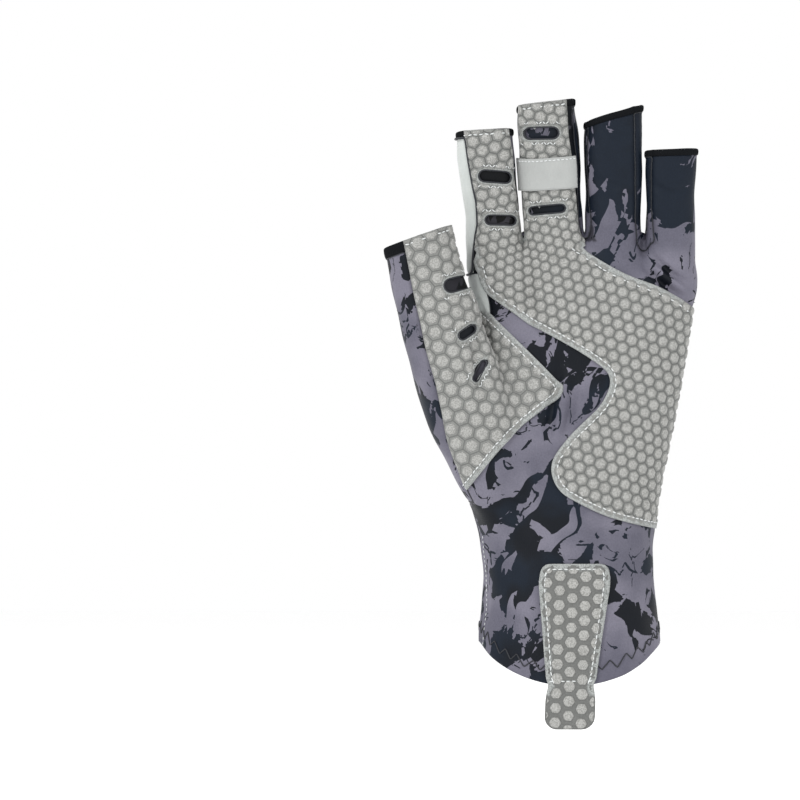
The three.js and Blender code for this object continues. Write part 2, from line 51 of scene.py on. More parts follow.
# height, middle, width and depth of the hand's tube
HAND_ROWS = [
    (-47.0, 0.3, 71.6, 52.0), (0.0, 0.3, 71.6, 52.0), (15.7, 0.3, 69.5, 48.9),
    (34.5, -0.7, 67.6, 46.0), (56.5, -1.2, 72.7, 43.0), (80.1, 0.5, 79.0, 41.0),
    (100.5, 3.5, 80.9, 35.7), (119.3, 5.4, 83.5, 32.6), (136.6, 5.9, 87.0, 29.5),
    (149.9, 5.7, 87.9, 23.6), (157.0, 5.7, 84.4, 15.5),
]
HAND_SQUARENESS = 2.3
CUFF_WIDTH = 71.6
CUFF_MIDDLE = 0.3
CUFF_DROP = 17.2
# across the hand, how high the tube is closed between the fingers
CROTCHES = [(-46.0, 150.0), (-17.6, 154.4), (6.2, 158.0), (29.6, 151.8), (50.0, 147.0)]

# above the crotches the fingers' tubes stay at least this far apart, in millimetres
FINGER_GAP = 0.65

# along a digit, and shares of its width and depth
FINGER_SECTIONS = [
    (-0.3, 0.92, 0.86), (0.0, 0.92, 0.86), (0.22, 1.0, 0.98), (0.6, 1.0, 1.0), (1.0, 1.0, 0.94),
    (1.3, 1.0, 0.94),
]
THUMB_SECTIONS = [
    (-0.3, 0.85, 1.0), (0.0, 0.85, 1.0), (0.16, 1.08, 1.2), (0.34, 1.19, 1.22), (0.55, 1.18, 1.14),
    (0.78, 1.05, 1.04), (1.0, 0.98, 0.96), (1.3, 0.98, 0.96),
]


def softened(rows, step, softness):
    """A table of sections turned into smooth curves over its first column."""
    rows = np.array(rows, float)
    places = np.arange(rows[0, 0], rows[-1, 0] + step / 2, step)
    reach = int(3 * softness / step)
    kernel = np.exp(-0.5 * (np.arange(-reach, reach + 1) * step / softness) ** 2)
    kernel /= kernel.sum()
    padded = [np.pad(np.interp(places, rows[:, 0], c), reach, mode="edge") for c in rows[:, 1:].T]
    return places, [np.convolve(column, kernel, mode="valid") for column in padded]


def looked_up(curves, at):
    """The softened columns of a table at some places."""
    places, columns = curves
    return [np.interp(at, places, column) for column in columns]


def unit(vectors):
    return vectors / np.maximum(np.linalg.norm(vectors, axis=-1, keepdims=True), 1e-12)


class Digit:
    """A finger or thumb tube. Along is 0 at its root and 1 at its open end."""

    def __init__(
        self, start, length, width, depth, lean, pitch, sections, squareness, end_slope, hem=2.8
    ):
        self.start, self.length, self.squareness = np.array(start, float), length, squareness
        self.half_width, self.half_depth, self.end_slope = width / 2, depth / 2, end_slope
        self.front_rise = depth * math.sin(math.radians(pitch[1]))
        self.hem = hem
        self.sections = softened(sections, 0.01, 0.05)
        self.places = np.linspace(-0.6, 1.4, 201)
        share = np.clip(self.places, -0.3, 1.3)
        leans = np.radians(lean[0] + (lean[1] - lean[0]) * share)
        pitches = np.radians(pitch[0] + (pitch[1] - pitch[0]) * share)
        flat = np.cos(pitches)
        self.up = np.stack([np.sin(leans) * flat, -np.sin(pitches), np.cos(leans) * flat], 1)
        steps = (self.up[1:] + self.up[:-1]) / 2 * np.diff(self.places)[:, None] * length
        centre = np.concatenate([np.zeros((1, 3)), np.cumsum(steps, 0)])
        root = np.array([np.interp(0, self.places, c) for c in centre.T])
        self.centre = centre - root + self.start
        self.side = unit(np.cross([0.0, 1.0, 0.0], self.up))
        self.back = np.cross(self.up, self.side)

    def at(self, along, columns):
        return np.stack([np.interp(along, self.places, c) for c in columns.T], -1)

    def coordinates(self, p):
        """Share along the digit, millimetres across and back from its axis, and half sizes there."""
        along = (p - self.start) @ self.up[100] / self.length
        for _ in range(3):
            offset = p - self.at(along, self.centre)
            along = along + (offset * self.at(along, self.up)).sum(1) / self.length
        offset = p - self.at(along, self.centre)
        across = (offset * self.at(along, self.side)).sum(1)
        back = (offset * self.at(along, self.back)).sum(1)
        wide, deep = looked_up(self.sections, along)
        return along, across, back, wide * self.half_width, deep * self.half_depth

    def place(self, along, across, back):
        """The point at a share along, and shares of the half width and half depth there."""
        along, across, back = (np.asarray(v, float) for v in (along, across, back))
        wide, deep = looked_up(self.sections, along)
        sideways = self.at(along, self.side) * (across * wide * self.half_width)[..., None]
        backwards = self.at(along, self.back) * (back * deep * self.half_depth)[..., None]
        return self.at(along, self.centre) + sideways + backwards

    def distance(self, p):
        along, across, back, wide, deep = self.coordinates(p)
        tube = section_distance(across, back, wide, deep, self.squareness)
        return soft_max(tube, -along * self.length, 8.0)

    def seam_angle(self, share):
        """The angle round the section of a point in front at a share of the half width."""
        share = np.asarray(share, float)
        return np.arctan2(-section_depth(share, self.squareness), share)

    def end_rise(self, across, back):
        """How far past its length the open end is, by millimetres across and a share of the depth."""
        return self.end_slope * across + self.front_rise * (0.1 - 0.5 * back)


def section_depth(share, squareness):
    """The share of the half depth that a section has at a share of its half width."""
    return (1 - np.abs(share) ** squareness) ** (1 / squareness)


def section_ring(angles, squareness):
    """Shares of the half width and half depth round a section."""
    cos, sin = np.cos(angles), np.sin(angles)
    ratio = (np.abs(cos) ** squareness + np.abs(sin) ** squareness) ** (-1 / squareness)
    return cos * ratio, sin * ratio


def section_distance(across, back, wide, deep, squareness):
    """About how far a place is outside a section with these half sizes."""
    powers = np.abs(across / wide) ** squareness + np.abs(back / deep) ** squareness
    ratio = powers ** (1 / squareness)
    from_axis = np.hypot(across, back)
    return from_axis - from_axis / np.maximum(ratio, 1e-3)


def soft_min(a, b, softness):
    """The smaller of two distances, rounded where they are nearly equal."""
    blend = np.clip(0.5 + 0.5 * (b - a) / softness, 0, 1)
    return b + (a - b) * blend - softness * blend * (1 - blend)


def soft_max(a, b, softness):
    return -soft_min(-a, -b, softness)


def finger(across_palm, length, width, depth, lean, end_slope):
    """A straight finger, rooted below the crotches and curled a little forwards."""
    start, leans = (across_palm * PALM_WIDTH, 0.0, HAND_LENGTH - 22.0), (lean, lean)
    return Digit(start, length, width, depth, leans, (0.0, 14.0), FINGER_SECTIONS, 2.6, end_slope)


index = finger(-0.318, 69.0, 22.4, 19.4, -5.2, -0.03)
middle = finger(-0.053, 80.0, 24.0, 20.2, -3.4, 0.06)
ring = finger(0.209, 75.5, 22.9, 19.6, -0.5, 0.29)
little = finger(0.46, 61.0, 20.4, 18.0, 0.4, 0.05)
thumb = Digit(
    (-20.4, -5.0, 47.1), 121.5, 28.0, 25.0, (-27.0, -12.5), (6.0, 6.0), THUMB_SECTIONS, 2.2, 0.12, hem=4.4
)
fingers = [index, middle, ring, little]
digits = [*fingers, thumb]
hand_curves = softened(HAND_ROWS, 0.5, 4.0)


def hand_distance(p):
    """How far places are outside the hand's tube, which is closed above at the crotches."""
    middle_line, width, depth = looked_up(hand_curves, p[:, 2])
    tube = section_distance(p[:, 0] - middle_line, p[:, 1], width / 2, depth / 2, HAND_SQUARENESS)
    across, top = np.array(CROTCHES).T
    return soft_max(tube, p[:, 2] - np.interp(p[:, 0], across, top), 5.0)


def glove_distance(p):
    """How far places are outside the whole form. The fingers' tubes blend below the crotches only."""
    tubes = index.distance(p)
    below_crotch = np.interp(p[:, 2], [152.0, 164.0], [1.0, 0.0])
    for other in fingers[1:]:
        tube = other.distance(p)
        gap = FINGER_GAP - 0.5 * np.abs(tubes - tube) - 3.0 * below_crotch
        tubes = np.maximum(soft_min(tubes, tube, 0.2 + 0.8 * below_crotch), gap)
    body = soft_min(hand_distance(p), tubes, 6.0)
    return soft_min(body, thumb.distance(p), np.interp(p[:, 2], [100.0, 130.0], [5.0, 1.2]))


def outward(p):
    """The direction out of the form, from how its distance changes."""
    step = 0.05
    slopes = [glove_distance(p + step * axis) - glove_distance(p - step * axis) for axis in np.eye(3)]
    return unit(np.stack(slopes, 1))


def split(quads):
    """Quads as triangles."""
    return np.concatenate([quads[:, [0, 1, 2]], quads[:, [0, 2, 3]]])


def form_surface():
    """The form as a net of even cells: points with their outward direction, and triangles.

    Distances are taken on a coarse grid first, then on a fine one near the surface. Each fine cell
    that the surface crosses gives a point, and each grid edge that it crosses gives a quad."""
    low, high, coarse = np.array([-82.0, -38.0, -26.0]), np.array([58.0, 34.0, 226.0]), 4
    counts = np.ceil((high - low) / (CLOTH_CELL * coarse)).astype(int) + 1
    axes = [low[k] + np.arange(counts[k]) * CLOTH_CELL * coarse for k in range(3)]
    knots = np.stack(np.meshgrid(*axes, indexing="ij"), -1)
    rough = glove_distance(knots.reshape(-1, 3)).reshape(counts)
    near = np.abs(rough) < CLOTH_CELL * coarse * 1.9
    value = np.where(rough < 0, -1.0, 1.0).repeat(coarse, 0).repeat(coarse, 1).repeat(coarse, 2)
    near = near.repeat(coarse, 0).repeat(coarse, 1).repeat(coarse, 2)
    shift = coarse // 2
    value, near = (np.roll(a, -shift, (0, 1, 2))[:-coarse, :-coarse, :-coarse] for a in (value, near))
    where = np.argwhere(near)
    value[near] = glove_distance(low + where * CLOTH_CELL)
    inside = value < 0
    corners = [(i, j, k) for i in (0, 1) for j in (0, 1) for k in (0, 1)]
    size = np.array(value.shape) - 1

    def corner(array, c):
        return array[c[0] : c[0] + size[0], c[1] : c[1] + size[1], c[2] : c[2] + size[2]]

    total = sum(corner(inside, c).astype(np.int8) for c in corners)
    cells = np.argwhere((total > 0) & (total < 8))
    number = np.full(size, -1)
    number[tuple(cells.T)] = np.arange(len(cells))
    sums, hits = np.zeros((len(cells), 3)), np.zeros(len(cells))
    for c in corners:
        for axis in range(3):
            if c[axis]:
                continue
            other = np.array(c)
            other[axis] = 1
            a = value[tuple((cells + c).T)]
            b = value[tuple((cells + other).T)]
            crossed = (a < 0) != (b < 0)
            place = cells[crossed] + np.array(c, float)
            place[:, axis] += a[crossed] / (a[crossed] - b[crossed])
            sums[crossed] += place
            hits[crossed] += 1
    points = low + sums / hits[:, None] * CLOTH_CELL
    quads = []
    for axis in range(3):
        u, v = (axis + 1) % 3, (axis + 2) % 3
        ahead = [slice(None)] * 3
        behind = [slice(None)] * 3
        ahead[axis], behind[axis] = slice(1, None), slice(None, -1)
        start, end = inside[tuple(behind)], inside[tuple(ahead)]
        for flip, crossing in ((False, start & ~end), (True, ~start & end)):
            edges = np.argwhere(crossing)
            low_side, high_side = edges[:, [u, v]] > 0, edges[:, [u, v]] < size[[u, v]]
            edges = edges[(low_side & high_side).all(1)]
            ring_of_cells = []
            for du, dv in ((-1, -1), (0, -1), (0, 0), (-1, 0)):
                cell = edges.copy()
                cell[:, u] += du
                cell[:, v] += dv
                ring_of_cells.append(number[tuple(cell.T)])
            quad = np.stack(ring_of_cells, 1)
            quads.append(quad[:, ::-1] if flip else quad)
    quads = np.concatenate(quads)
    quads = quads[(quads >= 0).all(1)]
    edges = np.concatenate([quads[:, [i, (i + 1) % 4]] for i in range(4)])
    for _ in range(3):
        total, count = np.zeros_like(points), np.zeros(len(points))
        np.add.at(total, edges[:, 0], points[edges[:, 1]])
        np.add.at(count, edges[:, 0], 1)
        points += 0.5 * (total / np.maximum(count, 1)[:, None] - points)
        points -= outward(points) * glove_distance(points)[:, None]
    return np.hstack([points, outward(points)]), split(quads)


form_points, form_faces = form_surface()


# The cloth panels: thin smooth knitted stretch cloth with a printed camouflage of angular shards,
# grey with dark slate. They are cut flat, sewn edge to edge, and drawn into soft folds by the hand.

CLOTH_THICKNESS = 0.9
# millimetres up from a finger's root to the foot of its side panels
SIDE_PANEL_FOOT = 18.0
REAR_SEAM_ANGLE = math.atan2(0.62, 0.866)
WEB_CORNERS = [
    (-0.385, 0.935, 0.0), (-0.5, 0.93, 0.069), (-0.515, 0.8, 0.092), (-0.545, 0.72, 0.092),
    (-0.52, 0.64, 0.092), (-0.455, 0.6, 0.023), (-0.405, 0.7, 0.092), (-0.36, 0.8, 0.069),
]
# along the digit, and where the seam runs in front as a share of the half width
INDEX_LEFT_SEAM = [
    (-0.1, 0.62), (-0.02, 0.75), (0.07, 0.9), (0.28, 0.8), (0.4, 0.68), (0.47, 0.57), (0.606, 0.52),
    (0.785, 0.62), (1.02, 0.75),
]
INDEX_RIGHT_SEAM = [(0.3, 0.97), (1.0, 0.85)]
RING_RIGHT_SEAM = [(0.27, 1.0), (0.36, 0.85), (0.45, 0.73), (1.0, 0.7)]
LITTLE_LEFT_SEAM = [(0.33, 1.0), (0.43, 0.88), (0.55, 0.78), (1.0, 0.76)]
MIDDLE_RIGHT_SEAM = [(0.2, 0.97), (0.6, 0.9), (1.0, 0.92)]
INNER_SEAM = [(0.0, 0.95), (1.0, 0.95)]
MIDDLE_PATCH_EDGE = [(0.25, 0.93), (0.4, 0.82), (0.56, 0.74), (1.0, 0.62)]
THUMB_FRONT_SEAM = [
    (0.1, -0.9), (0.178, -0.84), (0.281, -0.77), (0.535, -0.53), (0.753, -0.46), (0.975, -0.39),
]
THUMB_REAR_SEAM = [(0.13, -0.3), (0.3, 0.3), (0.5, 0.62), (1.0, 0.62)]


def along_table(table, along):
    """The value of a two-column table at a place along it."""
    places, values = np.array(table).T
    return np.interp(along, places, values)


def rounded_outline(corners):
    """An outline from corners in shares of the palm's width and the hand's length, each rounded."""
    corners = np.array(corners, float)
    spots, radii = corners[:, :2] * (PALM_WIDTH, HAND_LENGTH), corners[:, 2] * PALM_WIDTH
    outline = []
    for i, (here, radius) in enumerate(zip(spots, radii)):
        before, after = spots[i - 1] - here, spots[(i + 1) % len(spots)] - here
        setback = min(radius, np.linalg.norm(before) / 2, np.linalg.norm(after) / 2)
        start, end = here + unit(before) * setback, here + unit(after) * setback
        turns = np.linspace(0, 1, 9 if setback > 0 else 1)[:, None]
        outline.append((1 - turns) ** 2 * start + 2 * turns * (1 - turns) * here + turns**2 * end)
    return np.concatenate(outline)


def outline_distance(spots, outline):
    """How far flat spots are outside an outline, negative inside."""
    nearest, inside = np.full(len(spots), 1e9), np.zeros(len(spots), bool)
    for a, b in zip(outline, np.roll(outline, -1, 0)):
        side, offset = b - a, spots - a
        share = np.clip(offset @ side / max(side @ side, 1e-12), 0, 1)
        nearest = np.minimum(nearest, np.linalg.norm(offset - share[:, None] * side, axis=1))
        spans = (a[1] > spots[:, 1]) != (b[1] > spots[:, 1])
        rise = b[1] - a[1] if b[1] != a[1] else 1.0
        inside ^= spans & (spots[:, 0] < a[0] + (spots[:, 1] - a[1]) / rise * side[0])
    return np.where(inside, -nearest, nearest)


def around(digit, p, hand):
    """Share along, angle from a side of the digit (hand 1 right, -1 left), radius and reach."""
    along, across, back, wide, deep = digit.coordinates(p)
    angle = np.arctan2(back / deep, hand * across / wide)
    beyond = np.maximum(np.abs(across) / wide, np.abs(back) / deep)
    room = np.interp(along, [0.3, 0.5], [1.4, 1.08])
    return along, angle, np.hypot(across, back), (beyond - room) * digit.half_width


def side_field(digit, p, hand, seam):
    """Negative on one side of a digit, from its front seam to its rear one, above the panel's foot."""
    along, angle, radius, reach = around(digit, p, hand)
    front = digit.seam_angle(along_table(seam, along))
    strip = np.maximum(front - angle, angle - REAR_SEAM_ANGLE) * radius
    foot = (SIDE_PANEL_FOOT / digit.length - along) * digit.length
    return soft_max(np.maximum(strip, reach), foot, 3.0)


def fork_field(left, right, left_seam, right_seam):
    """Negative on the side panel that runs between two fingers."""

    def field(p):
        return soft_min(side_field(left, p, 1, left_seam), side_field(right, p, -1, right_seam), 3.0)

    return field


def index_side_field(p):
    """Negative on the suede strip down the thumb side of the index finger."""
    along, angle, radius, reach = around(index, p, -1)
    front = index.seam_angle(along_table(INDEX_LEFT_SEAM, along))
    taper = np.interp(along, [-0.12, 0.3, 0.5], [0.3, 0.85, 1.0])
    strip = np.maximum(front - angle, angle - taper * REAR_SEAM_ANGLE) * radius
    return np.maximum(np.maximum(strip, reach), (-0.1 - along) * index.length)


web_outline = rounded_outline(WEB_CORNERS)


def web_field(p):
    """Negative on the leaf over the thumb's web, in front and just behind."""
    return np.maximum(outline_distance(p[:, [0, 2]], web_outline), -9.0 - p[:, 1])


def thumb_front_field(p):
    """Negative outside the thumb's front seam, towards its outer side."""
    along, angle, radius, _ = around(thumb, p, -1)
    share = along_table(THUMB_FRONT_SEAM, along)
    front = np.arctan2(-section_depth(share, thumb.squareness), -share)
    return (front - angle) * radius, along, angle, radius


def thumb_field(p):
    """Negative on the thumb's cloth panel, between its two seams."""
    front, along, angle, radius = thumb_front_field(p)
    share = along_table(THUMB_REAR_SEAM, along)
    rear = np.arctan2(section_depth(share, thumb.squareness), -share)
    strip = np.maximum(front, (angle - rear) * radius)
    return soft_max(strip, (0.13 - along) * thumb.length, 2.0)


def back_field(p):
    """Negative behind the seam down both sides, which follows the curled little finger."""
    return np.interp(p[:, 2], little.centre[:, 2], little.centre[:, 1]) - p[:, 1]


def cuff_drop(across):
    """How far the cuff's edge hangs below the side seams, by a share of the half width."""
    return CUFF_DROP * (1 - across**2) ** 0.7


def cuff_field(p):
    """Negative below the cuff's curved edge."""
    return p[:, 2] + cuff_drop(np.clip((p[:, 0] - CUFF_MIDDLE) / (CUFF_WIDTH / 2), -1, 1))


def end_field(digit, short):
    """Negative past a digit's open end, or past the foot of its hem."""

    def field(p):
        along, across, back, wide, deep = digit.coordinates(p)
        end = digit.length - (digit.hem if short else 0.0)
        past = end + digit.end_rise(across, np.clip(back / deep, -1, 1)) - along * digit.length
        beyond = np.maximum(np.abs(across) / wide, np.abs(back) / deep) - 1.06
        return np.maximum(past, np.maximum(beyond, 0.6 - along) * 100)

    return field


def carve(points, faces, field):
    """Parts a net where a field of its places is 0: the part inside, below 0, and the rest.

    Points close to that line are first moved onto it, by the field's slope over the net, so that
    the cut leaves no slivers."""
    points, s = points.copy(), field(points[:, :3])
    corners = points[faces, :3]
    value = s[faces]
    near = np.flatnonzero((value.min(1) < CLOTH_CELL) & (value.max(1) > -CLOTH_CELL))
    a, b, c = (corners[near, i] for i in range(3))
    normal = np.cross(b - a, c - a)
    twice = np.maximum((normal**2).sum(1), 1e-12)
    sides = enumerate((c - b, a - c, b - a))
    slope = sum(value[near, i, None] * np.cross(normal, side) for i, side in sides) / twice[:, None]
    gradient, weight = np.zeros((len(points), 3)), np.zeros(len(points))
    for i in range(3):
        np.add.at(gradient, faces[near, i], slope * np.sqrt(twice)[:, None])
        np.add.at(weight, faces[near, i], np.sqrt(twice))
    gradient /= np.maximum(weight, 1e-9)[:, None]
    steep = np.linalg.norm(gradient, axis=1)
    snapped = (np.abs(s) < 0.3 * CLOTH_CELL * np.maximum(steep, 0.2)) & (steep > 0.2)
    points[snapped, :3] -= (s / np.maximum(steep, 0.2) ** 2)[snapped, None] * gradient[snapped]
    s[snapped] = 0.0
    sign = np.sign(s)[faces]
    low, high = sign.min(1), sign.max(1)
    inner, outer, made, seen = [faces[(high <= 0) & (low < 0)]], [faces[low >= 0]], [], {}
    for face in faces[(low < 0) & (high > 0)].tolist():
        parts = ([], [])
        for here, after in zip(face, face[1:] + face[:1]):
            if s[here] <= 0:
                parts[0].append(here)
            if s[here] >= 0:
                parts[1].append(here)
            if s[here] * s[after] < 0:
                key = (min(here, after), max(here, after))
                if key not in seen:
                    share = s[key[0]] / (s[key[0]] - s[key[1]])
                    seen[key] = len(points) + len(made)
                    made.append(points[key[0]] * (1 - share) + points[key[1]] * share)
                parts[0].append(seen[key])
                parts[1].append(seen[key])
        for part, kept in zip(parts, (inner, outer)):
            fan = [[part[0], part[i], part[i + 1]] for i in range(1, len(part) - 1)]
            kept.append(np.array(fan).reshape(-1, 3))
    if made:
        points = np.vstack([points, made])
    return trimmed(points, np.concatenate(inner)), trimmed(points, np.concatenate(outer))


def trimmed(points, faces):
    """A net without the points that no face uses."""
    used, faces = np.unique(faces.astype(int), return_inverse=True)
    return points[used], faces.reshape(-1, 3)


def largest(points, faces):
    """Only the largest connected part of a net."""
    label = np.arange(len(points))
    while True:
        lowest = label[faces].min(1)
        new = label.copy()
        for i in range(3):
            np.minimum.at(new, faces[:, i], lowest)
        new = new[new]
        if (new == label).all():
            break
        label = new
    names, counts = np.unique(label[faces[:, 0]], return_counts=True)
    return trimmed(points, faces[label[faces[:, 0]] == names[counts.argmax()]])


# all folds are this much deeper than their rows say
FOLD_GAIN = 1.7
# Folds of the worn cloth: side of the glove (-1 palm, 1 back), depth, width, then where it runs,
# as places across and up
FOLDS = [
    (-1, 1.5, 3.2, [(-17.2, 156.0), (-17.0, 142.0), (-14.5, 124.0)]),
    (-1, 1.7, 2.4, [(-4.0, 110.0), (-7.0, 96.0), (-9.5, 78.0)]),
    (-1, 1.3, 2.0, [(1.5, 104.0), (0.5, 92.0), (-3.0, 80.0)]),
    (-1, 1.9, 2.0, [(30.0, 149.0), (37.0, 142.5), (47.0, 136.0)]),
    (-1, 1.5, 1.7, [(33.0, 153.5), (40.0, 147.0), (48.0, 142.0)]),
    (-1, 1.6, 2.4, [(-35.2, 128.0), (-37.6, 116.0), (-36.0, 102.0), (-34.0, 90.0)]),
    (-1, 0.7, 2.6, [(-30.0, 62.0), (-24.0, 55.0), (-14.0, 52.0)]),
    (-1, 0.6, 3.0, [(20.0, 46.0), (10.0, 42.0), (0.0, 43.0)]),
    (-1, 0.5, 2.0, [(12.0, 205.0), (19.0, 200.5), (25.0, 201.0)]),
    (-1, 0.5, 2.0, [(11.0, 184.0), (18.0, 181.0), (25.0, 183.0)]),
    (-1, 0.6, 2.0, [(33.0, 182.0), (40.0, 178.0), (47.0, 180.0)]),
    (1, 1.0, 2.6, [(-30.0, 120.0), (-18.0, 112.0), (-6.0, 110.0)]),
    (1, 0.9, 2.8, [(-20.0, 96.0), (-8.0, 90.0), (6.0, 92.0)]),
    (1, 0.8, 2.4, [(12.0, 150.0), (10.0, 136.0), (12.0, 122.0)]),
    (1, 0.8, 2.4, [(-12.0, 150.0), (-10.0, 138.0), (-11.0, 124.0)]),
    (1, 0.7, 3.0, [(-26.0, 40.0), (-12.0, 35.0), (4.0, 36.0)]),
    (1, 0.7, 3.0, [(30.0, 66.0), (18.0, 60.0), (6.0, 61.0)]),
]


def fold_relief(p, normals):
    """The folds: a groove between two low swells, fading out at both ends of its line."""
    total = np.zeros(len(p))
    for side, depth, width, spots in FOLDS:
        spots = np.array(spots)
        facing = np.clip(side * normals[:, 1] * 2.0 - 0.2, 0, 1)
        lengths = np.linalg.norm(np.diff(spots, axis=0), axis=1)
        nearest, share = np.full(len(p), 1e9), np.zeros(len(p))
        run = 0.0
        for a, b, length in zip(spots, spots[1:], lengths):
            offset = p[:, [0, 2]] - a
            t = np.clip(offset @ (b - a) / length**2, 0, 1)
            gap = np.linalg.norm(offset - t[:, None] * (b - a), axis=1)
            closer = gap < nearest
            nearest = np.where(closer, gap, nearest)
            share = np.where(closer, (run + t * length) / lengths.sum(), share)
            run += length
        across = (nearest / width) ** 2
        strength = FOLD_GAIN * depth * facing * np.sin(np.pi * np.clip(share, 0.03, 0.97)) ** 0.7
        total -= strength * (1 - 0.55 * across) * np.exp(-across)
    return total


def waviness(p):
    """Slow unevenness, as cloth on a form has."""
    rng = np.random.default_rng(7)
    total = np.zeros(len(p))
    for length, height in ((34, 0.28), (27, 0.24), (21, 0.2), (16, 0.16), (12, 0.12), (9, 0.08)):
        way = unit(rng.normal(size=3)) * 2 * np.pi / length
        total += height * np.sin(p @ way + rng.uniform(0, 2 * np.pi))
    return total


panel_fields = {
    "side_panel_index_middle": fork_field(index, middle, INDEX_RIGHT_SEAM, INNER_SEAM),
    "side_panel_middle_ring": fork_field(middle, ring, MIDDLE_RIGHT_SEAM, INNER_SEAM),
    "side_panel_ring_little": fork_field(ring, little, RING_RIGHT_SEAM, LITTLE_LEFT_SEAM),
    "web_patch": web_field,
    "index_side_panel": index_side_field,
    "thumb_panel": thumb_field,
    "back_panel": back_field,
}


SEAM_DEPTH = 0.5
SEAM_WIDTH = 1.1
# a panel this deep inside its edge hides the seams of those after it
SEAM_COVER = 2.5


def seam_relief(p):
    """The valley that sewing pulls along each seam."""
    nearest = np.full(len(p), 1e9)
    covered = np.zeros(len(p), bool)
    for field in panel_fields.values():
        gap = field(p)
        nearest = np.where(covered, nearest, np.minimum(nearest, np.abs(gap)))
        covered |= gap < -SEAM_COVER
    return -SEAM_DEPTH * np.exp(-((nearest / SEAM_WIDTH) ** 2))


def relief(points):
    """How far the worn cloth stands off the form, from its folds, waves and seams."""
    p, normals = points[:, :3], points[:, 3:6]
    return fold_relief(p, normals) + waviness(p) + seam_relief(p)


def placed(points, lift):
    """A net's places with the folds in it, lifted off the form."""
    return points[:, :3] + points[:, 3:6] * (relief(points) + lift)[:, None]


def mesh_piece(name, places, faces, materials):
    """An object from places in millimetres and faces."""
    mesh = bpy.data.meshes.new(name)
    faces = faces.tolist() if isinstance(faces, np.ndarray) else faces
    mesh.from_pydata((np.asarray(places) * MM).tolist(), [], faces)
    mesh.shade_smooth()
    for material in materials:
        mesh.materials.append(material)
    piece = bpy.data.objects.new(name, mesh)
    bpy.context.scene.collection.objects.link(piece)
    return piece


def thickened(piece, thickness):
    """Gives a net its cloth's thickness, inwards, with its second material inside."""
    wall = piece.modifiers.new("thickness", "SOLIDIFY")
    wall.thickness, wall.offset = thickness * MM, -1
    wall.material_offset = 1 if len(piece.data.materials) > 1 else 0
    return piece


def net_area(places, faces):
    """The area of a net of triangles."""
    a, b, c = (np.asarray(places)[faces[:, i]] for i in range(3))
    return np.linalg.norm(np.cross(b - a, c - a), axis=1).sum() / 2


# how much a flat cut's rectangle exceeds its area at least, and the least share of it that is cloth
CUT_MARGIN = 1.02
LEAST_CUT_SHARE = 0.31


def declare_cloth(piece, places, faces):
    """Attaches a sewn piece of cloth to the root and hides the part that it stands for.

    Its flat size is estimated from the spans and the area of the worn net, but not kept."""
    spans = np.ptp(np.asarray(places), axis=0) * MM
    area = net_area(places, faces) * MM * MM
    longest, broad = max(spans[2], 0.011), max(spans[0], spans[1], 0.011)
    room = max(1.0, area / (longest * broad) * CUT_MARGIN)
    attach(piece, "root")
    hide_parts(piece.name.removesuffix("_cloth"))
    cut_area = max(area, LEAST_CUT_SHARE * broad * room * longest)
    flat = (broad * room, longest)


class Socket:
    """A value in a material. Sums between such values become Math nodes."""

    def __init__(self, tree, socket):
        self.tree, self.socket = tree, socket

    def sum(self, operation, *others):
        return node(self.tree, "ShaderNodeMath", {"operation": operation}, self, *others)

    def __add__(self, other):
        return self.sum("ADD", other)

    __radd__ = __add__

    def __mul__(self, other):
        return self.sum("MULTIPLY", other)

    __rmul__ = both = __mul__

    def __sub__(self, other):
        return self.sum("SUBTRACT", other)

    def __rsub__(self, other):
        return node(self.tree, "ShaderNodeMath", {"operation": "SUBTRACT"}, other, self)

    def __truediv__(self, other):
        return self.sum("DIVIDE", other)

    def __gt__(self, other):
        return self.sum("GREATER_THAN", other)

    def __lt__(self, other):
        return self.sum("LESS_THAN", other)

    def either(self, other):
        return self.sum("MAXIMUM", other)

    def step(self, low, high):
        """0 below low, 1 above high, smooth between."""
        settings = {"interpolation_type": "SMOOTHSTEP"}
        return node(self.tree, "ShaderNodeMapRange", settings, self, low, high, 0.0, 1.0)


def feed(tree, socket, value):
    """Gives an input a number or a link."""
    if isinstance(value, Socket):
        tree.links.new(value.socket, socket)
    else:
        socket.default_value = value


def node(tree, kind, settings=None, *values, out=0, **named):
    """One node: its settings first, then its sockets in order or by name, as numbers or links."""
    made = tree.nodes.new(kind)
    for key, value in (settings or {}).items():
        setattr(made, key, value)
    for key, value in [*enumerate(values), *((k.replace("_", " "), v) for k, v in named.items())]:
        feed(tree, made.inputs[key], value)
    return Socket(tree, made.outputs[out])


def colour(code):
    """A colour from its hex code, as Blender's light values."""
    parts = [int(code[i : i + 2], 16) / 255 for i in (0, 2, 4)]
    return tuple(c / 12.92 if c <= 0.04045 else ((c + 0.055) / 1.055) ** 2.4 for c in parts) + (1.0,)


def blend(tree, share, low, high):
    """Between two colours, by a share."""
    made = tree.nodes.new("ShaderNodeMix")
    made.data_type = "RGBA"
    for place, value in ((0, share), (6, low), (7, high)):
        feed(tree, made.inputs[place], value)
    return Socket(tree, made.outputs[2])


def new_material(name):
    material = bpy.data.materials.new(name)
    material.use_nodes = True
    material.node_tree.nodes.clear()
    return material, material.node_tree


def finish_material(tree, base, roughness, height=None, bump=0.3, **constants):
    """Joins a colour, a roughness and a height in millimetres to the surface."""
    surface = tree.nodes.new("ShaderNodeBsdfPrincipled")
    output = tree.nodes.new("ShaderNodeOutputMaterial")
    tree.links.new(surface.outputs[0], output.inputs[0])
    if height is not None:
        bent = node(tree, "ShaderNodeBump", None, Strength=bump, Distance=MM, Height=height)
        constants["Normal"] = bent
    for name, value in {"Base Color": base, "Roughness": roughness, **constants}.items():
        feed(tree, surface.inputs[name.replace("_", " ")], value)


def grown(tree, vector, amount):
    """A vector or colour times an amount."""
    return node(tree, "ShaderNodeVectorMath", {"operation": "SCALE"}, vector, Scale=amount)


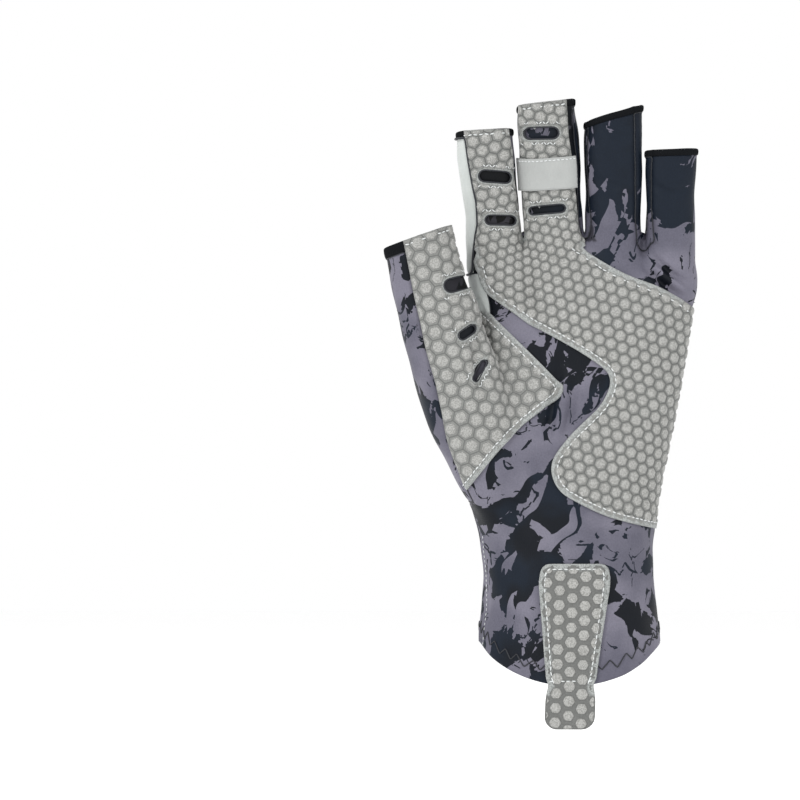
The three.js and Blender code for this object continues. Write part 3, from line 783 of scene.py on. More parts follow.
def object_millimetres(tree):
    places = node(tree, "ShaderNodeTexCoord", None, out=3)
    return grown(tree, places, 1 / MM)


def noise(tree, places, scale, detail, out=0):
    """Soft noise over places in millimetres, as a number or, with out 1, as a colour."""
    return node(tree, "ShaderNodeTexNoise", None, places, Scale=scale, Detail=detail, out=out)


def axis(tree, vector, number):
    return node(tree, "ShaderNodeSeparateXYZ", None, vector, out=number)


def moved(tree, places, colours, amount):
    """Places moved to and fro by a random colour's three parts, by up to an amount."""
    centred = node(tree, "ShaderNodeVectorMath", {"operation": "SUBTRACT"}, colours, (0.5, 0.5, 0.5))
    way = grown(tree, centred, 2 * amount)
    return node(tree, "ShaderNodeVectorMath", {"operation": "ADD"}, places, way)


def shaken(tree, places, size, amount):
    """Places moved by noise of a size, both in millimetres."""
    return moved(tree, places, noise(tree, places, 1 / size, 1.0, out=1), amount)


def cells(tree, places, size, stretch, turn):
    """A net of flat-sided cells, stretched and turned over the cloth, with a random colour in each."""
    scale, rotation = (size * stretch, size, size), (0, math.radians(turn), 0)
    settings = {"vector_type": "TEXTURE"}
    mapped = node(tree, "ShaderNodeMapping", settings, places, Rotation=rotation, Scale=scale)
    return node(tree, "ShaderNodeTexVoronoi", None, mapped, Scale=1.0, Randomness=1.0, out=1)


def shattered(tree, places, size, stretch, turn, amount):
    """Places moved cell by cell, so that the edges of a pattern on them break into shards."""
    return moved(tree, places, cells(tree, places, size, stretch, turn), amount)


def chosen(tree, places, size, stretch, turn, share):
    """1 in a share of the cells."""
    return node(tree, "ShaderNodeSeparateColor", None, cells(tree, places, size, stretch, turn)) < share


def camouflage_material():
    """Dark shards, slits and twigs on grey, more of them up the fingers in front, with a fine knit."""
    material, tree = new_material("camouflage_knit")
    places = object_millimetres(tree)
    wandering = shaken(tree, places, 18.0, 7.0)
    broken = shattered(tree, wandering, 9.0, 2.6, -55.0, 4.0)
    ragged = shattered(tree, broken, 2.2, 3.0, 25.0, 0.6)
    fine = shaken(tree, ragged, 0.9, 0.15)
    blocks = chosen(tree, fine, 13.0, 1.6, -60.0, 0.3)
    shards = chosen(tree, fine, 7.0, 2.6, -40.0, 0.12)
    slits = chosen(tree, fine, 3.6, 5.0, -62.0, 0.05)
    trunk = (noise(tree, fine, 1 / 15.0, 1.0) - 0.5).sum("ABSOLUTE") < 0.011
    twigs = trunk.both(chosen(tree, wandering, 16.0, 1.0, 0.0, 0.6))
    x, y, z = (axis(tree, places, i) for i in range(3))
    on_fingers = (axis(tree, broken, 2) > 166.0).both(axis(tree, broken, 1) < 4.0)
    upper = on_fingers.both(chosen(tree, fine, 11.0, 1.8, -65.0, 0.72))
    dark = blocks.either(shards).either(upper).both(1 - slits).either(twigs)
    tone = noise(tree, places, 1 / 22.0, 2.0)
    light_ground = blend(tree, tone.step(0.35, 0.65), colour("565561"), colour("6b6975"))
    dark_ground = blend(tree, tone.step(0.4, 0.6), colour("111924"), colour("0a0e15"))
    base = blend(tree, dark, light_ground, dark_ground)
    wales = ((x + y * 0.7) * (2 * math.pi / 0.62)).sum("SINE")
    courses = (z * (2 * math.pi / 0.5)).sum("SINE")
    grain = noise(tree, places, 1.6, 2.0)
    knit = wales * 0.012 + courses * 0.012 + grain * 0.09
    # The print as worn, flecked by the knit's grain and darkened by the shade attribute: painted shadow
    # on the cloth seen through the slots, darker seams, and the dark band beside the middle finger's
    # patch.
    shade = node(tree, "ShaderNodeAttribute", {"attribute_name": "shade"}, out=2)
    fleck = 0.78 + 0.44 * grain
    worn = grown(tree, base, fleck * (1 - shade))
    finish_material(tree, worn, 0.5 + 0.12 * grain, knit, 0.7, Specular_IOR_Level=0.15)
    return material


def yarn_material(name, dark, pale, scale, height, roughness, swing=0.0, **constants):
    """Plain cloth or thread: fine noise between two colours, which is its height too."""
    material, tree = new_material(name)
    grain = noise(tree, object_millimetres(tree), scale, 2.0)
    base = blend(tree, grain, colour(dark), colour(pale))
    finish_material(tree, base, roughness + swing * grain, grain * height, 0.5, **constants)
    return material


camouflage = camouflage_material()
lining = yarn_material("grey_lining", "3b3d44", "50525a", 2.0, 0.2, 0.85)


def cut_to_ends(net, short):
    """A net cut off at the digits' open ends and at the cuff's edge."""
    for digit in digits:
        _, net = carve(*net, end_field(digit, short))
    _, net = carve(*net, cuff_field)
    return largest(*net)


shell = cut_to_ends((form_points, form_faces), True)
rest = shell
panels = {}
for panel_name, panel_field in panel_fields.items():
    part, rest = carve(*rest, panel_field)
    panels[panel_name] = largest(*part)
panels["palm_panel"] = largest(*rest)

# the grip patches' slots: middle across and up in millimetres, length, width, tilt in degrees, and
# how far the right end runs on
SLOTS = {
    "palm": [
        (-29.8, 184.8, 13.2, 4.8, -4, 0),
        (-27.5, 167.6, 12.6, 4.0, -1, 0),
        (-11.4, 202.0, 14.0, 4.8, 1, 0),
        (-9.0, 171.8, 14.8, 3.4, 5, 0),
    ],
    "thumb": [
        (-45.6, 141.8, 9.5, 5.6, 15, 8),
        (-41.0, 122.8, 8.0, 3.6, 35, 0),
        (-36.0, 107.6, 9.5, 2.6, 62, 0),
    ],
}
# middle, length and width of the shadows on the cloth under the slots, and how dark they are
SLOT_SHADOWS = [(*slot[:4], depth) for slot, depth in zip(SLOTS["palm"], (0.85, 0.85, 0.25, 0.3))]
SLOT_SHADOWS += [(-42.6, 142.6, 18.0, 7.0, 0.85), (-36.0, 107.6, 6.0, 12.0, 0.7)]


def cloth_shade(p):
    """How much darker the print is, in the seams and in the band beside the middle finger's patch."""
    seam = np.clip(-seam_relief(p) - 0.12, 0, 1) * 0.8
    along, angle, _, reach = around(middle, p, 1)
    past_patch = angle - middle.seam_angle(along_table(MIDDLE_PATCH_EDGE, along))
    before_seam = middle.seam_angle(along_table(MIDDLE_RIGHT_SEAM, along)) - angle
    band = (past_patch > -0.3) & (before_seam > 0) & (reach < 0) & (along > 0.3)
    return np.maximum(seam, 0.7 * band)


side_panels = [name for name in panel_fields if name.startswith("side_panel")]
for panel_name in ("palm_panel", "back_panel", "thumb_panel", *side_panels):
    points, faces = panels[panel_name]
    places = placed(points, 0.0)
    panel = mesh_piece(panel_name + "_cloth", places, faces, [camouflage, lining])
    shade = panel.data.attributes.new("shade", "FLOAT", "POINT")
    values = cloth_shade(points[:, :3])
    if panel_name == "palm_panel":
        # the cloth seen through the slots lies in shadow
        for x, z, length, width, depth in SLOT_SHADOWS:
            across, up = (points[:, 0] - x) / (length / 2 + 2), (points[:, 2] - z) / (width / 2 + 2)
            near = np.hypot(across, up) < 1
            values = np.where(near & (points[:, 4] < 0), depth, values)
    shade.data.foreach_set("value", values)
    thickened(panel, CLOTH_THICKNESS)
    declare_cloth(panel, places, faces)


# The index finger's side strip and the leaf over the thumb's web: plain light grey synthetic suede,
# thin and matt, sewn in between the cloth panels.


def plain_suede_material(name, low, high):
    material, tree = new_material(name)
    places = object_millimetres(tree)
    nap, cloud = noise(tree, places, 1.4, 4.0), noise(tree, places, 0.12, 2.0)
    base = blend(tree, cloud * 0.6 + nap * 0.4, colour(low), colour(high))
    sheen = {"Sheen_Weight": 0.25, "Sheen_Roughness": 0.5}
    finish_material(tree, base, 0.8 + 0.1 * nap, nap * 0.25, 0.5, **sheen)
    return material


plain_suede = plain_suede_material("plain_light_suede", "a3a8a5", "c0c4c2")
strap_suede = plain_suede_material("strap_suede", "8e908f", "a5a7a5")

for panel_name in ("index_side_panel", "web_patch"):
    points, faces = panels[panel_name]
    places = placed(points, 0.1)
    panel = mesh_piece(panel_name + "_cloth", places, faces, [plain_suede, lining])
    thickened(panel, 1.0)
    declare_cloth(panel, places, faces)


# The hems: a matt black band of overlocked thread round each digit's open end, with fine ribs
# across it, sewn on where the panels stop.

# share of the hem's height below the end, and how far out from the cloth's surface in millimetres
HEM_PROFILE = [
    (1.03, -0.3), (0.98, 0.2), (0.82, 0.45), (0.5, 0.55), (0.2, 0.45), (0.05, 0.15), (0.0, -0.3),
    (0.07, -0.85), (0.35, -1.05), (0.8, -1.05), (1.0, -0.95),
]
RIB_PITCH = 0.95


RIB_HEIGHT = 0.1

black_hem = yarn_material(
    "black_overlock_thread", "060709", "121417", 2.5, 0.2, 0.85, Specular_IOR_Level=0.1
)


def digit_ring(digit, below, lift, angles, level=0.0):
    """Points round a digit below its open end, off the cloth's surface, with the way out.

    They follow the end's slope, or less of it with a level up to 1."""
    across, back = section_ring(angles, digit.squareness)
    rise = digit.end_rise(across * digit.half_width, back)
    along = 1 - (below - rise * (1 - level)) / digit.length
    p = digit.place(along, across, back)
    normals = outward(p)
    points = np.hstack([p, normals])
    return placed(points, 0.0) + normals * np.asarray(lift)[..., None], normals


def grid_quads(rows, columns, closed=False):
    """The quads of a net of rows, which runs round to its start both ways where it is closed."""
    last = 0 if closed else 1
    i, j = np.meshgrid(np.arange(rows - last), np.arange(columns - last), indexing="ij")
    i2, j2 = (i + 1) % rows, (j + 1) % columns
    corners = [i * columns + j, i * columns + j2, i2 * columns + j2, i2 * columns + j]
    return np.stack(corners, -1).reshape(-1, 4)


def hem_band(digit, name):
    """The ribbed band round a digit's open end."""
    ribs = round(math.pi * (digit.half_width + digit.half_depth) / RIB_PITCH)
    angles = np.arange(ribs * 4) / (ribs * 4) * 2 * math.pi
    rib = np.cos(angles * ribs) * RIB_HEIGHT
    rows = []
    for share, out in HEM_PROFILE:
        lift = out + (rib if out > 0 else 0 * rib)
        rows.append(digit_ring(digit, share * digit.hem, lift, angles)[0])
    return mesh_piece(name, np.concatenate(rows), grid_quads(len(rows), len(angles), True), [black_hem])


for digit, digit_name in zip(digits, ("index", "middle", "ring", "little", "thumb")):
    hem = hem_band(digit, f"hem_{digit_name}_cloth")
    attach(hem, "root")
    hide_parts(f"hem_{digit_name}")


# The grip patches: light grey synthetic suede over the palm, the outer palm's edge, the index and
# middle fingers and the thumb, with slots over the joints. They are laid over the cloth and sewn
# down round their edges.

PATCH_THICKNESS = 0.8
PATCH_LIFT = 0.95
# how far inside a patch's edge its stitches run
STITCH_INSET = 2.4
PALM_PATCH_CORNERS = [
    (-0.435, 0.965, 0.0), (-0.39, 0.885, 0.034), (-0.185, 0.803, 0.0), (0.046, 0.734, 0.092),
    (0.197, 0.673, 0.103), (0.155, 0.605, 0.103), (-0.02, 0.512, 0.069), (-0.1, 0.446, 0.103),
    (-0.06, 0.38, 0.103), (0.143, 0.318, 0.161), (0.395, 0.284, 0.023), (0.7, 0.284, 0.0),
    (0.7, 0.78, 0.0), (0.5, 0.879, 0.11), (0.23, 0.932, 0.115), (0.055, 0.995, 0.06),
    (0.0, 1.02, 0.0), (-0.4, 1.02, 0.0),
]
THUMB_PATCH_CORNERS = [
    (-0.9, 1.1, 0.0), (-0.9, 0.38, 0.0), (-0.475, 0.38, 0.012), (-0.28, 0.52, 0.138),
    (-0.05, 0.62, 0.034), (-0.03, 0.645, 0.034), (-0.28, 0.785, 0.115), (-0.42, 0.86, 0.046),
    (-0.42, 1.1, 0.0),
]


def slot_distance(spots, slot):
    """How far flat spots are outside a slot with round ends."""
    x, z, length, width, tilt, run = slot
    turn = math.radians(tilt)
    offset = spots - (x, z)
    along = offset @ (math.cos(turn), math.sin(turn))
    across = offset @ (-math.sin(turn), math.cos(turn))
    straight = length / 2 - width / 2
    return np.hypot(along - np.clip(along, -straight, straight + run), across) - width / 2


PATCH_OUTLINES = {
    "palm": rounded_outline(PALM_PATCH_CORNERS),
    "thumb": rounded_outline(THUMB_PATCH_CORNERS),
}
# beside the web the thumb's patch ends at this radius from the thumb's axis, or at this height
THUMB_PATCH_RADIUS, THUMB_PATCH_TOP = 16.5, 131.0
# past this angle round the thumb the front seam is a whole turn away
THUMB_TURN_ANGLE = 1.9


def strip_field(digit, p, left_seam, right_seam):
    """Negative on the strip of a patch that runs up a finger."""
    along, left_angle, radius, reach = around(digit, p, -1)
    _, right_angle, _, _ = around(digit, p, 1)
    left_gap = (left_angle - digit.seam_angle(along_table(left_seam, along))) * radius
    right_gap = (right_angle - digit.seam_angle(along_table(right_seam, along))) * radius
    _, across, _, wide, _ = digit.coordinates(p)
    low, beyond = 22 - along * digit.length, np.abs(across) - wide * 1.03
    return np.maximum(np.maximum(left_gap, right_gap), np.maximum(np.maximum(reach, beyond), low))


def palm_patch_field(p):
    """Negative on the palm's patch: its outline, run into the strips up two fingers."""
    palm = outline_distance(p[:, [0, 2]], PATCH_OUTLINES["palm"])
    on_index = strip_field(index, p, INDEX_LEFT_SEAM, INDEX_RIGHT_SEAM)
    on_middle = strip_field(middle, p, INNER_SEAM, MIDDLE_PATCH_EDGE)
    return soft_max(soft_min(soft_min(palm, on_index, 1.5), on_middle, 1.5), -back_field(p), 2.5)


def thumb_patch_field(p):
    """Negative on the thumb's patch: in its outline, inside the front seam, in front, on the thumb."""
    outside, _, angle, radius = thumb_front_field(p)
    outside = outside + np.where(angle > THUMB_TURN_ANGLE, 2 * math.pi * radius, 0.0)
    flat = outline_distance(p[:, [0, 2]], PATCH_OUTLINES["thumb"])
    _, _, back, _, _ = thumb.coordinates(p)
    # in front of the thumb's middle, or of a wall that turns inwards beside the thumb's ball
    front = np.minimum(10.0 * back, p[:, 1] + 2.0 - np.minimum(5.0 * (p[:, 0] + 37.0), 5.0))
    on_thumb = np.minimum(radius - THUMB_PATCH_RADIUS, p[:, 2] - THUMB_PATCH_TOP)
    return np.maximum.reduce([flat, -outside, front, on_thumb])


def net_edges(faces):
    """Each directed edge of a net that has no neighbour on its other side."""
    edges = np.concatenate([faces[:, [i, (i + 1) % 3]] for i in range(3)])
    step = np.int64(faces.max() + 1)
    return edges[~np.isin(edges[:, 0] * step + edges[:, 1], edges[:, 1] * step + edges[:, 0])]


def corner_points(mesh):
    """The point at each face corner of a mesh."""
    loops = np.zeros(len(mesh.loops), int)
    mesh.loops.foreach_get("vertex_index", loops)
    return loops


def unwrapped(piece, points):
    """The flat cut of a patch, in millimetres, turned to lie as it is worn."""
    bpy.context.view_layer.objects.active = piece
    piece.select_set(True)
    bpy.ops.object.mode_set(mode="EDIT")
    bpy.ops.mesh.select_all(action="SELECT")
    bpy.ops.uv.unwrap(method="ANGLE_BASED", margin=0.0)
    bpy.ops.object.mode_set(mode="OBJECT")
    piece.select_set(False)
    mesh = piece.data
    loops = corner_points(mesh)
    flat = np.zeros(len(mesh.loops) * 2)
    mesh.uv_layers.active.data.foreach_get("uv", flat)
    spots = np.zeros((len(mesh.vertices), 2))
    spots[loops] = flat.reshape(-1, 2)
    worn = points[:, [0, 2]]
    faces = loops.reshape(-1, 3)
    flat_area = net_area(np.hstack([spots, np.zeros((len(spots), 1))]), faces)
    scale = math.sqrt(net_area(points[:, :3], faces) / flat_area)
    weight = np.clip(-points[:, 4], 0, 1)[:, None]
    centre, target = (spots * weight).sum(0) / weight.sum(), (worn * weight).sum(0) / weight.sum()
    u, _, v = np.linalg.svd(((spots - centre) * weight).T @ (worn - target))
    turn = u @ np.diag([1, np.sign(np.linalg.det(u @ v))]) @ v
    return (spots - centre) @ turn * scale + target


patch_shell = cut_to_ends((form_points, form_faces), False)
patches = {}
for patch_name, field in (("palm", palm_patch_field), ("thumb", thumb_patch_field)):
    part, _ = carve(*patch_shell, field)
    points, faces = largest(*part)
    flat_piece = mesh_piece("flat_cut", points[:, :3], faces, [])
    spots = unwrapped(flat_piece, points)
    bpy.data.objects.remove(flat_piece)
    patches[patch_name] = (np.hstack([points, spots]), faces)


class Pads:
    """Raised hexagonal pads of one patch: their pitch, and the way their columns run."""

    # share of the pad's radius, and share of its height
    PROFILE = [(1.0, -0.15), (0.93, 0.5), (0.72, 0.9)]
    SIDES = 12

    def __init__(self, pitch, turn, radius, height):
        self.pitch, self.turn, self.radius, self.height = pitch, math.radians(turn), radius, height

    def centres(self, low, high):
        """The pads' middles on a flat cut between two corners."""
        down = np.array([math.sin(self.turn), math.cos(self.turn)])
        over = np.array([down[1], -down[0]])
        reach = int(max(np.linalg.norm(low), np.linalg.norm(high)) / self.pitch) + 2
        spots = []
        for column in range(-reach, reach + 1):
            rows = np.arange(-reach, reach + 1) + 0.5 * (column % 2)
            across = column * self.pitch * math.sqrt(0.75) * over
            spots.append(rows[:, None] * self.pitch * down + across)
        spots = np.concatenate(spots)
        return spots[((spots > low) & (spots < high)).all(1)]

    def one(self):
        """Spots and heights of one pad, and its faces."""
        n, turn = self.SIDES, self.turn
        angles = np.arange(n) / n * 2 * math.pi
        shape = 1 + 0.045 * np.cos(6 * angles)
        ring = np.stack([np.cos(angles), np.sin(angles)], 1) * shape[:, None] * self.radius
        ring = ring @ np.array([[math.cos(turn), -math.sin(turn)], [math.sin(turn), math.cos(turn)]])
        spots = np.concatenate([ring * share for share, _ in self.PROFILE] + [np.zeros((1, 2))])
        heights = np.concatenate([np.full(n, h) for _, h in self.PROFILE] + [[1.0]])
        faces = []
        for k in range(len(self.PROFILE) - 1):
            low, high = k * n, (k + 1) * n
            faces += [(low + i, low + (i + 1) % n, high + (i + 1) % n, high + i) for i in range(n)]
        last = (len(self.PROFILE) - 1) * n
        faces += [(last + i, last + (i + 1) % n, last + n, last + n) for i in range(n)]
        return spots, heights, np.array(faces)


class Cut:
    """The flat cut of a patch, and what lies where on it."""

    def __init__(self, points, faces, lift):
        self.faces = faces
        self.places, self.normals, self.spots = placed(points, lift), points[:, 3:6], points[:, 6:8]
        border = net_edges(faces)
        self.edge_spots, self.edge_worn = (
            np.concatenate([ends[:, 0] * (1 - t) + ends[:, 1] * t for t in (0.0, 0.25, 0.5, 0.75)])
            for ends in (self.spots[border], points[border][:, :, :3])
        )
        flat = np.hstack([self.spots, np.zeros((len(self.spots), 1))])
        self.tree = BVHTree.FromPolygons(flat.tolist(), faces.tolist())

    def looked_up(self, spots):
        """For flat spots: place and way out on the worn patch, and how far off the patch they are."""
        places, normals = np.zeros((len(spots), 3)), np.zeros((len(spots), 3))
        gaps = np.zeros(len(spots))
        for i, spot in enumerate(spots):
            nearest, _, face, gap = self.tree.find_nearest((spot[0], spot[1], 0.0))
            a, b, c = self.faces[face]
            base = self.spots[a]
            side, other = self.spots[b] - base, self.spots[c] - base
            offset = np.array(nearest[:2]) - base
            size = side[0] * other[1] - side[1] * other[0]
            u = (offset[0] * other[1] - offset[1] * other[0]) / size
            v = (side[0] * offset[1] - side[1] * offset[0]) / size
            weight = np.array([1 - u - v, u, v])
            places[i] = weight @ self.places[[a, b, c]]
            normals[i] = weight @ self.normals[[a, b, c]]
            gaps[i] = gap
        return places, unit(normals), gaps

    def border_gap(self, spots, chosen):
        """How far flat spots are from the chosen parts of the border."""
        edge = self.edge_spots[chosen]
        gap = np.full(len(spots), 99.0)
        for start in range(0, len(spots), 2000):
            part = spots[start : start + 2000]
            gap[start : start + 2000] = np.sqrt(((part[:, None] - edge[None]) ** 2).sum(2)).min(1)
        return gap


def smooth_step(value, low, high):
    share = np.clip((value - low) / (high - low), 0, 1)
    return share * share * (3 - 2 * share)


# from and to which distance pads rise from flat to full, off a sewn edge, a free one and a slot
SEWN_PRESS = (1.2, 2.9)
FREE_PRESS = (0.0, 0.9)
SLOT_PRESS = (0.5, 1.6)


def pads_on(cut, pads, sewn, slots, seed):
    """All pads of a patch as places, flat spots, relative heights and faces.

    Sewn parts of the border press the pads flat, and slots cut them."""
    low, high = cut.spots.min(0) - pads.radius, cut.spots.max(0) + pads.radius
    centres = pads.centres(low, high)
    _, _, gaps = cut.looked_up(centres)
    centres = centres[gaps < pads.radius * 0.6]
    spots, heights, faces = pads.one()
    rng = np.random.default_rng(seed)
    size = rng.uniform(0.94, 1.04, (len(centres), 1, 1))
    all_spots = (centres[:, None] + spots[None] * size).reshape(-1, 2)
    all_heights = np.tile(heights, len(centres))
    places, normals, gaps = cut.looked_up(all_spots)
    press = smooth_step(cut.border_gap(all_spots, sewn), *SEWN_PRESS)
    if (~sewn).any():
        press *= smooth_step(cut.border_gap(all_spots, ~sewn), *FREE_PRESS)
    inside_slot = np.zeros(len(places), bool)
    for slot in slots:
        gap = slot_distance(places[:, [0, 2]], slot)
        press *= smooth_step(gap, *SLOT_PRESS)
        inside_slot |= gap < 0.35
    rise = all_heights * press * pads.height
    places = places + normals * (rise - 0.02)[:, None]
    all_faces = (faces[None] + (np.arange(len(centres)) * len(spots))[:, None, None]).reshape(-1, 4)
    kept = ~(inside_slot | (gaps > 0.4))[all_faces].any(1) & (press[all_faces].max(1) > 0.04)
    return places, all_spots, np.clip(all_heights, 0, 1) * press, all_faces[kept]


def grip_suede_material(name, pads, crease_shade_share, low="6a6b69", high="81827f"):
    """Grey suede with paler raised pads, and a thin line of painted shade half way between neighbours, in
    the creases at the pads' feet.
    """
    material, tree = new_material(name)
    places = object_millimetres(tree)
    nap, cloud = noise(tree, places, 1.5, 4.0), noise(tree, places, 0.11, 2.0)
    pad = node(tree, "ShaderNodeAttribute", {"attribute_name": "pad"}, out=2)
    flat_rim = node(tree, "ShaderNodeAttribute", {"attribute_name": "rim"}, out=2)
    spot = node(tree, "ShaderNodeUVMap", {"uv_map": "cut"})
    turned = node(tree, "ShaderNodeMapping", {"vector_type": "POINT"}, spot, Rotation=(0, 0, pads.turn))
    x, y = axis(tree, turned, 0), axis(tree, turned, 1)
    pitch, wide = pads.pitch, pads.pitch * math.sqrt(3)
    hexes = []
    for shift in (0.5, 1.0):
        gap_x = ((x / wide + shift).sum("FRACT") * wide - wide / 2).sum("ABSOLUTE")
        gap_y = ((y / pitch + shift).sum("FRACT") * pitch - pitch / 2).sum("ABSOLUTE")
        hexes.append((gap_x * math.sqrt(0.75) + gap_y * 0.5).either(gap_y))
    to_centre = hexes[0].sum("MINIMUM", hexes[1])
    # painted shade: a thin dark line (colour 444644) in the crease round each pad's foot, left off the
    # flat rim
    line = to_centre.step(pitch / 2 - 0.34, pitch / 2 - 0.1) * crease_shade_share * (1 - flat_rim)
    speckle = noise(tree, places, 2.1, 3.0).step(0.38, 0.62)
    ground = blend(tree, cloud * 0.4 + speckle * 0.6, colour(low), colour(high))
    crease_shaded = blend(tree, line, ground, colour("444644"))
    rimmed = blend(tree, flat_rim, crease_shaded, blend(tree, speckle, colour("7a7d7c"), colour("9a9d9b")))
    top = blend(tree, cloud * 0.3 + speckle * 0.7, colour("757572"), colour("a5a5a2"))
    base = blend(tree, pad.step(0.25, 0.7), rimmed, top)
    sheen = {"Sheen_Weight": 0.15, "Sheen_Roughness": 0.5}
    finish_material(tree, base, 0.72 + 0.12 * nap, nap * 0.3, 0.5, **sheen)
    return material


def stitch_press(edge_gap, stitch_inset, depth):
    """How deep a row of stitches presses the suede in, by the distance from its sewn edge."""
    return depth * np.exp(-(((edge_gap - stitch_inset) / 0.9) ** 2))


def patch_piece(name, net, lift, padding, material, backing, rim, press):
    """A patch as its suede, pressed in along its stitches, and the pads that stand on it.

    Both have the flat cut as their UV map."""
    points, faces = net
    places = placed(points, lift) - points[:, 3:6] * press[:, None]
    pad_places, pad_spots, pad_heights, pad_faces = padding
    sheet = mesh_piece(name + "_grip_patch_cloth", places, faces, [material, backing])
    thickened(sheet, PATCH_THICKNESS)
    used, pad_faces = np.unique(pad_faces, return_inverse=True)
    raised = [list(dict.fromkeys(face)) for face in pad_faces.reshape(-1, 4).tolist()]
    pads = mesh_piece(name + "_grip_pads", pad_places[used], raised, [material])
    for piece, spots, heights, rims in (
        (sheet, points[:, 6:8], np.zeros(len(points)), rim),
        (pads, pad_spots[used], pad_heights[used], np.zeros(len(used))),
    ):
        mesh = piece.data
        mesh.attributes.new("pad", "FLOAT", "POINT").data.foreach_set("value", heights)
        mesh.attributes.new("rim", "FLOAT", "POINT").data.foreach_set("value", rims)
        mesh.uv_layers.new(name="cut").data.foreach_set("uv", spots[corner_points(mesh)].ravel())
    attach(pads, "root")
    return sheet, pads, places


PALM_PADS = Pads(4.75, -8.0, 1.95, 0.5)
THUMB_PADS = Pads(5.7, -18.0, 2.3, 0.5)
cuts = {}
# how strong the painted crease shade between the pads is on each patch
for patch_name, pads, crease_shade_share in (("palm", PALM_PADS, 0.8), ("thumb", THUMB_PADS, 0.7)):
    material = grip_suede_material(patch_name + "_grip_suede", pads, crease_shade_share)
    whole = patches[patch_name]
    cut = Cut(*whole, PATCH_LIFT)
    cuts[patch_name] = cut
    on_outline = np.abs(outline_distance(cut.edge_worn[:, [0, 2]], PATCH_OUTLINES[patch_name])) < 0.5
    sewn = on_outline & (cut.edge_worn[:, 0] < 44)
    padding = pads_on(cut, pads, sewn, SLOTS[patch_name], 3)
    part = whole
    for slot in SLOTS[patch_name]:
        _, part = carve(*part, lambda p: slot_distance(p[:, [0, 2]], slot))
    points, faces = largest(*part)
    edge_gap = cut.border_gap(points[:, 6:8], sewn)
    rim = 1 - smooth_step(edge_gap, 1.7, 2.6)
    for slot in SLOTS[patch_name]:
        rim = np.maximum(rim, 1 - smooth_step(slot_distance(points[:, [0, 2]], slot), 0.4, 1.2))
    press = stitch_press(edge_gap, STITCH_INSET, 0.22)
    sheet, raised, places = patch_piece(
        patch_name, (points, faces), PATCH_LIFT, padding, material, lining, rim, press
    )
    declare_cloth(sheet, places, faces)


# The pull strap: a plain light suede band across the palm side of the middle finger, sewn in at
# both sides, slack enough for a finger tip to hook under it when the glove is pulled off.

STRAP_START = 46.0
STRAP_HEIGHT = 13.2
# how far the strap's ends are from the finger's left and right side, as angles round it
STRAP_LEFT, STRAP_RIGHT = 0.3, 0.78
# how much of the open end's slope the strap leaves out
STRAP_LEVEL = 0.85

strap_rows, strap_columns = 14, 60
over = np.linspace(0, 1, strap_columns)
strap_angles = -(math.pi - STRAP_LEFT) + over * (math.pi - STRAP_LEFT - STRAP_RIGHT)
strap_points = []
for k in range(strap_rows):
    share = k / (strap_rows - 1)
    below = middle.length - STRAP_START - STRAP_HEIGHT * (1 - share)
    sag = 1.75 + 0.55 * np.sin(np.pi * over) * (1 - 0.3 * share)
    ripple = 0.22 * np.sin(over * 19 + share * 2.5) * np.sin(np.pi * over) * (0.4 + 0.6 * (1 - share))
    strap_points.append(digit_ring(middle, below, sag + ripple, strap_angles, STRAP_LEVEL)[0])
strap_places = np.concatenate(strap_points)
strap_quads = grid_quads(strap_rows, strap_columns)[:, [0, 3, 2, 1]]
strap = mesh_piece("finger_pull_strap_cloth", strap_places, strap_quads, [strap_suede])
thickened(strap, 0.8)
declare_cloth(strap, strap_places, split(strap_quads))


# The cuff tab: a long tab of the same grip suede, sewn flat on the heel of the palm, with a free
# tongue below the cuff's edge to pull the glove on by.

TAB_LENGTH = 65.4
TAB_FOOT = -34.4
TAB_LEAN = math.radians(2.0)
TAB_BELOW = 17.2
TAB_LIFT = 1.3
TAB_SEWN_FROM = -19.0
TAB_STITCH_INSET = 2.1
# half width in millimetres, share of the length up, and corner radius
TAB_OUTLINE = [
    (12.9, 1.0, 5.0), (14.0, 0.89, 6.0), (9.75, 0.3, 1.0), (8.7, 0.275, 1.0), (9.75, 0.19, 3.0),
    (9.75, 0.045, 3.0), (6.8, 0.0, 3.0),
]


def tab_outline():
    """The tab's outline, leaning a little with the cuff."""
    corners = [(half, TAB_FOOT + up * TAB_LENGTH, radius) for half, up, radius in TAB_OUTLINE]
    corners += [(-half, z, radius) for half, z, radius in corners[::-1]]
    scaled = [(x / PALM_WIDTH, z / HAND_LENGTH, radius / PALM_WIDTH) for x, z, radius in corners]
    outline = rounded_outline(scaled)
    outline[:, 0] += (outline[:, 1] - TAB_FOOT - TAB_BELOW) * math.tan(TAB_LEAN)
    return outline


def tab_field(p):
    """Negative on the tab."""
    return np.maximum(outline_distance(p[:, [0, 2]], tab_outline()), p[:, 1])


def tab_net():
    """A flat net of the tab, laid on the hand's tube, with its tongue running on straight down."""
    step = 1.0
    xs = np.arange(-18, 18 + step, step)
    zs = np.arange(TAB_FOOT - 2, TAB_FOOT + TAB_LENGTH + 2, step)
    x, z = np.meshgrid(xs, zs)
    x, z = x.ravel(), z.ravel()
    middle_line, width, depth = looked_up(hand_curves, z)
    y = -(depth / 2) * section_depth((x - middle_line) / (width / 2), HAND_SQUARENESS)
    p = np.stack([x, y, z], 1)
    return np.hstack([p, outward(p)]), split(grid_quads(len(zs), len(xs)))


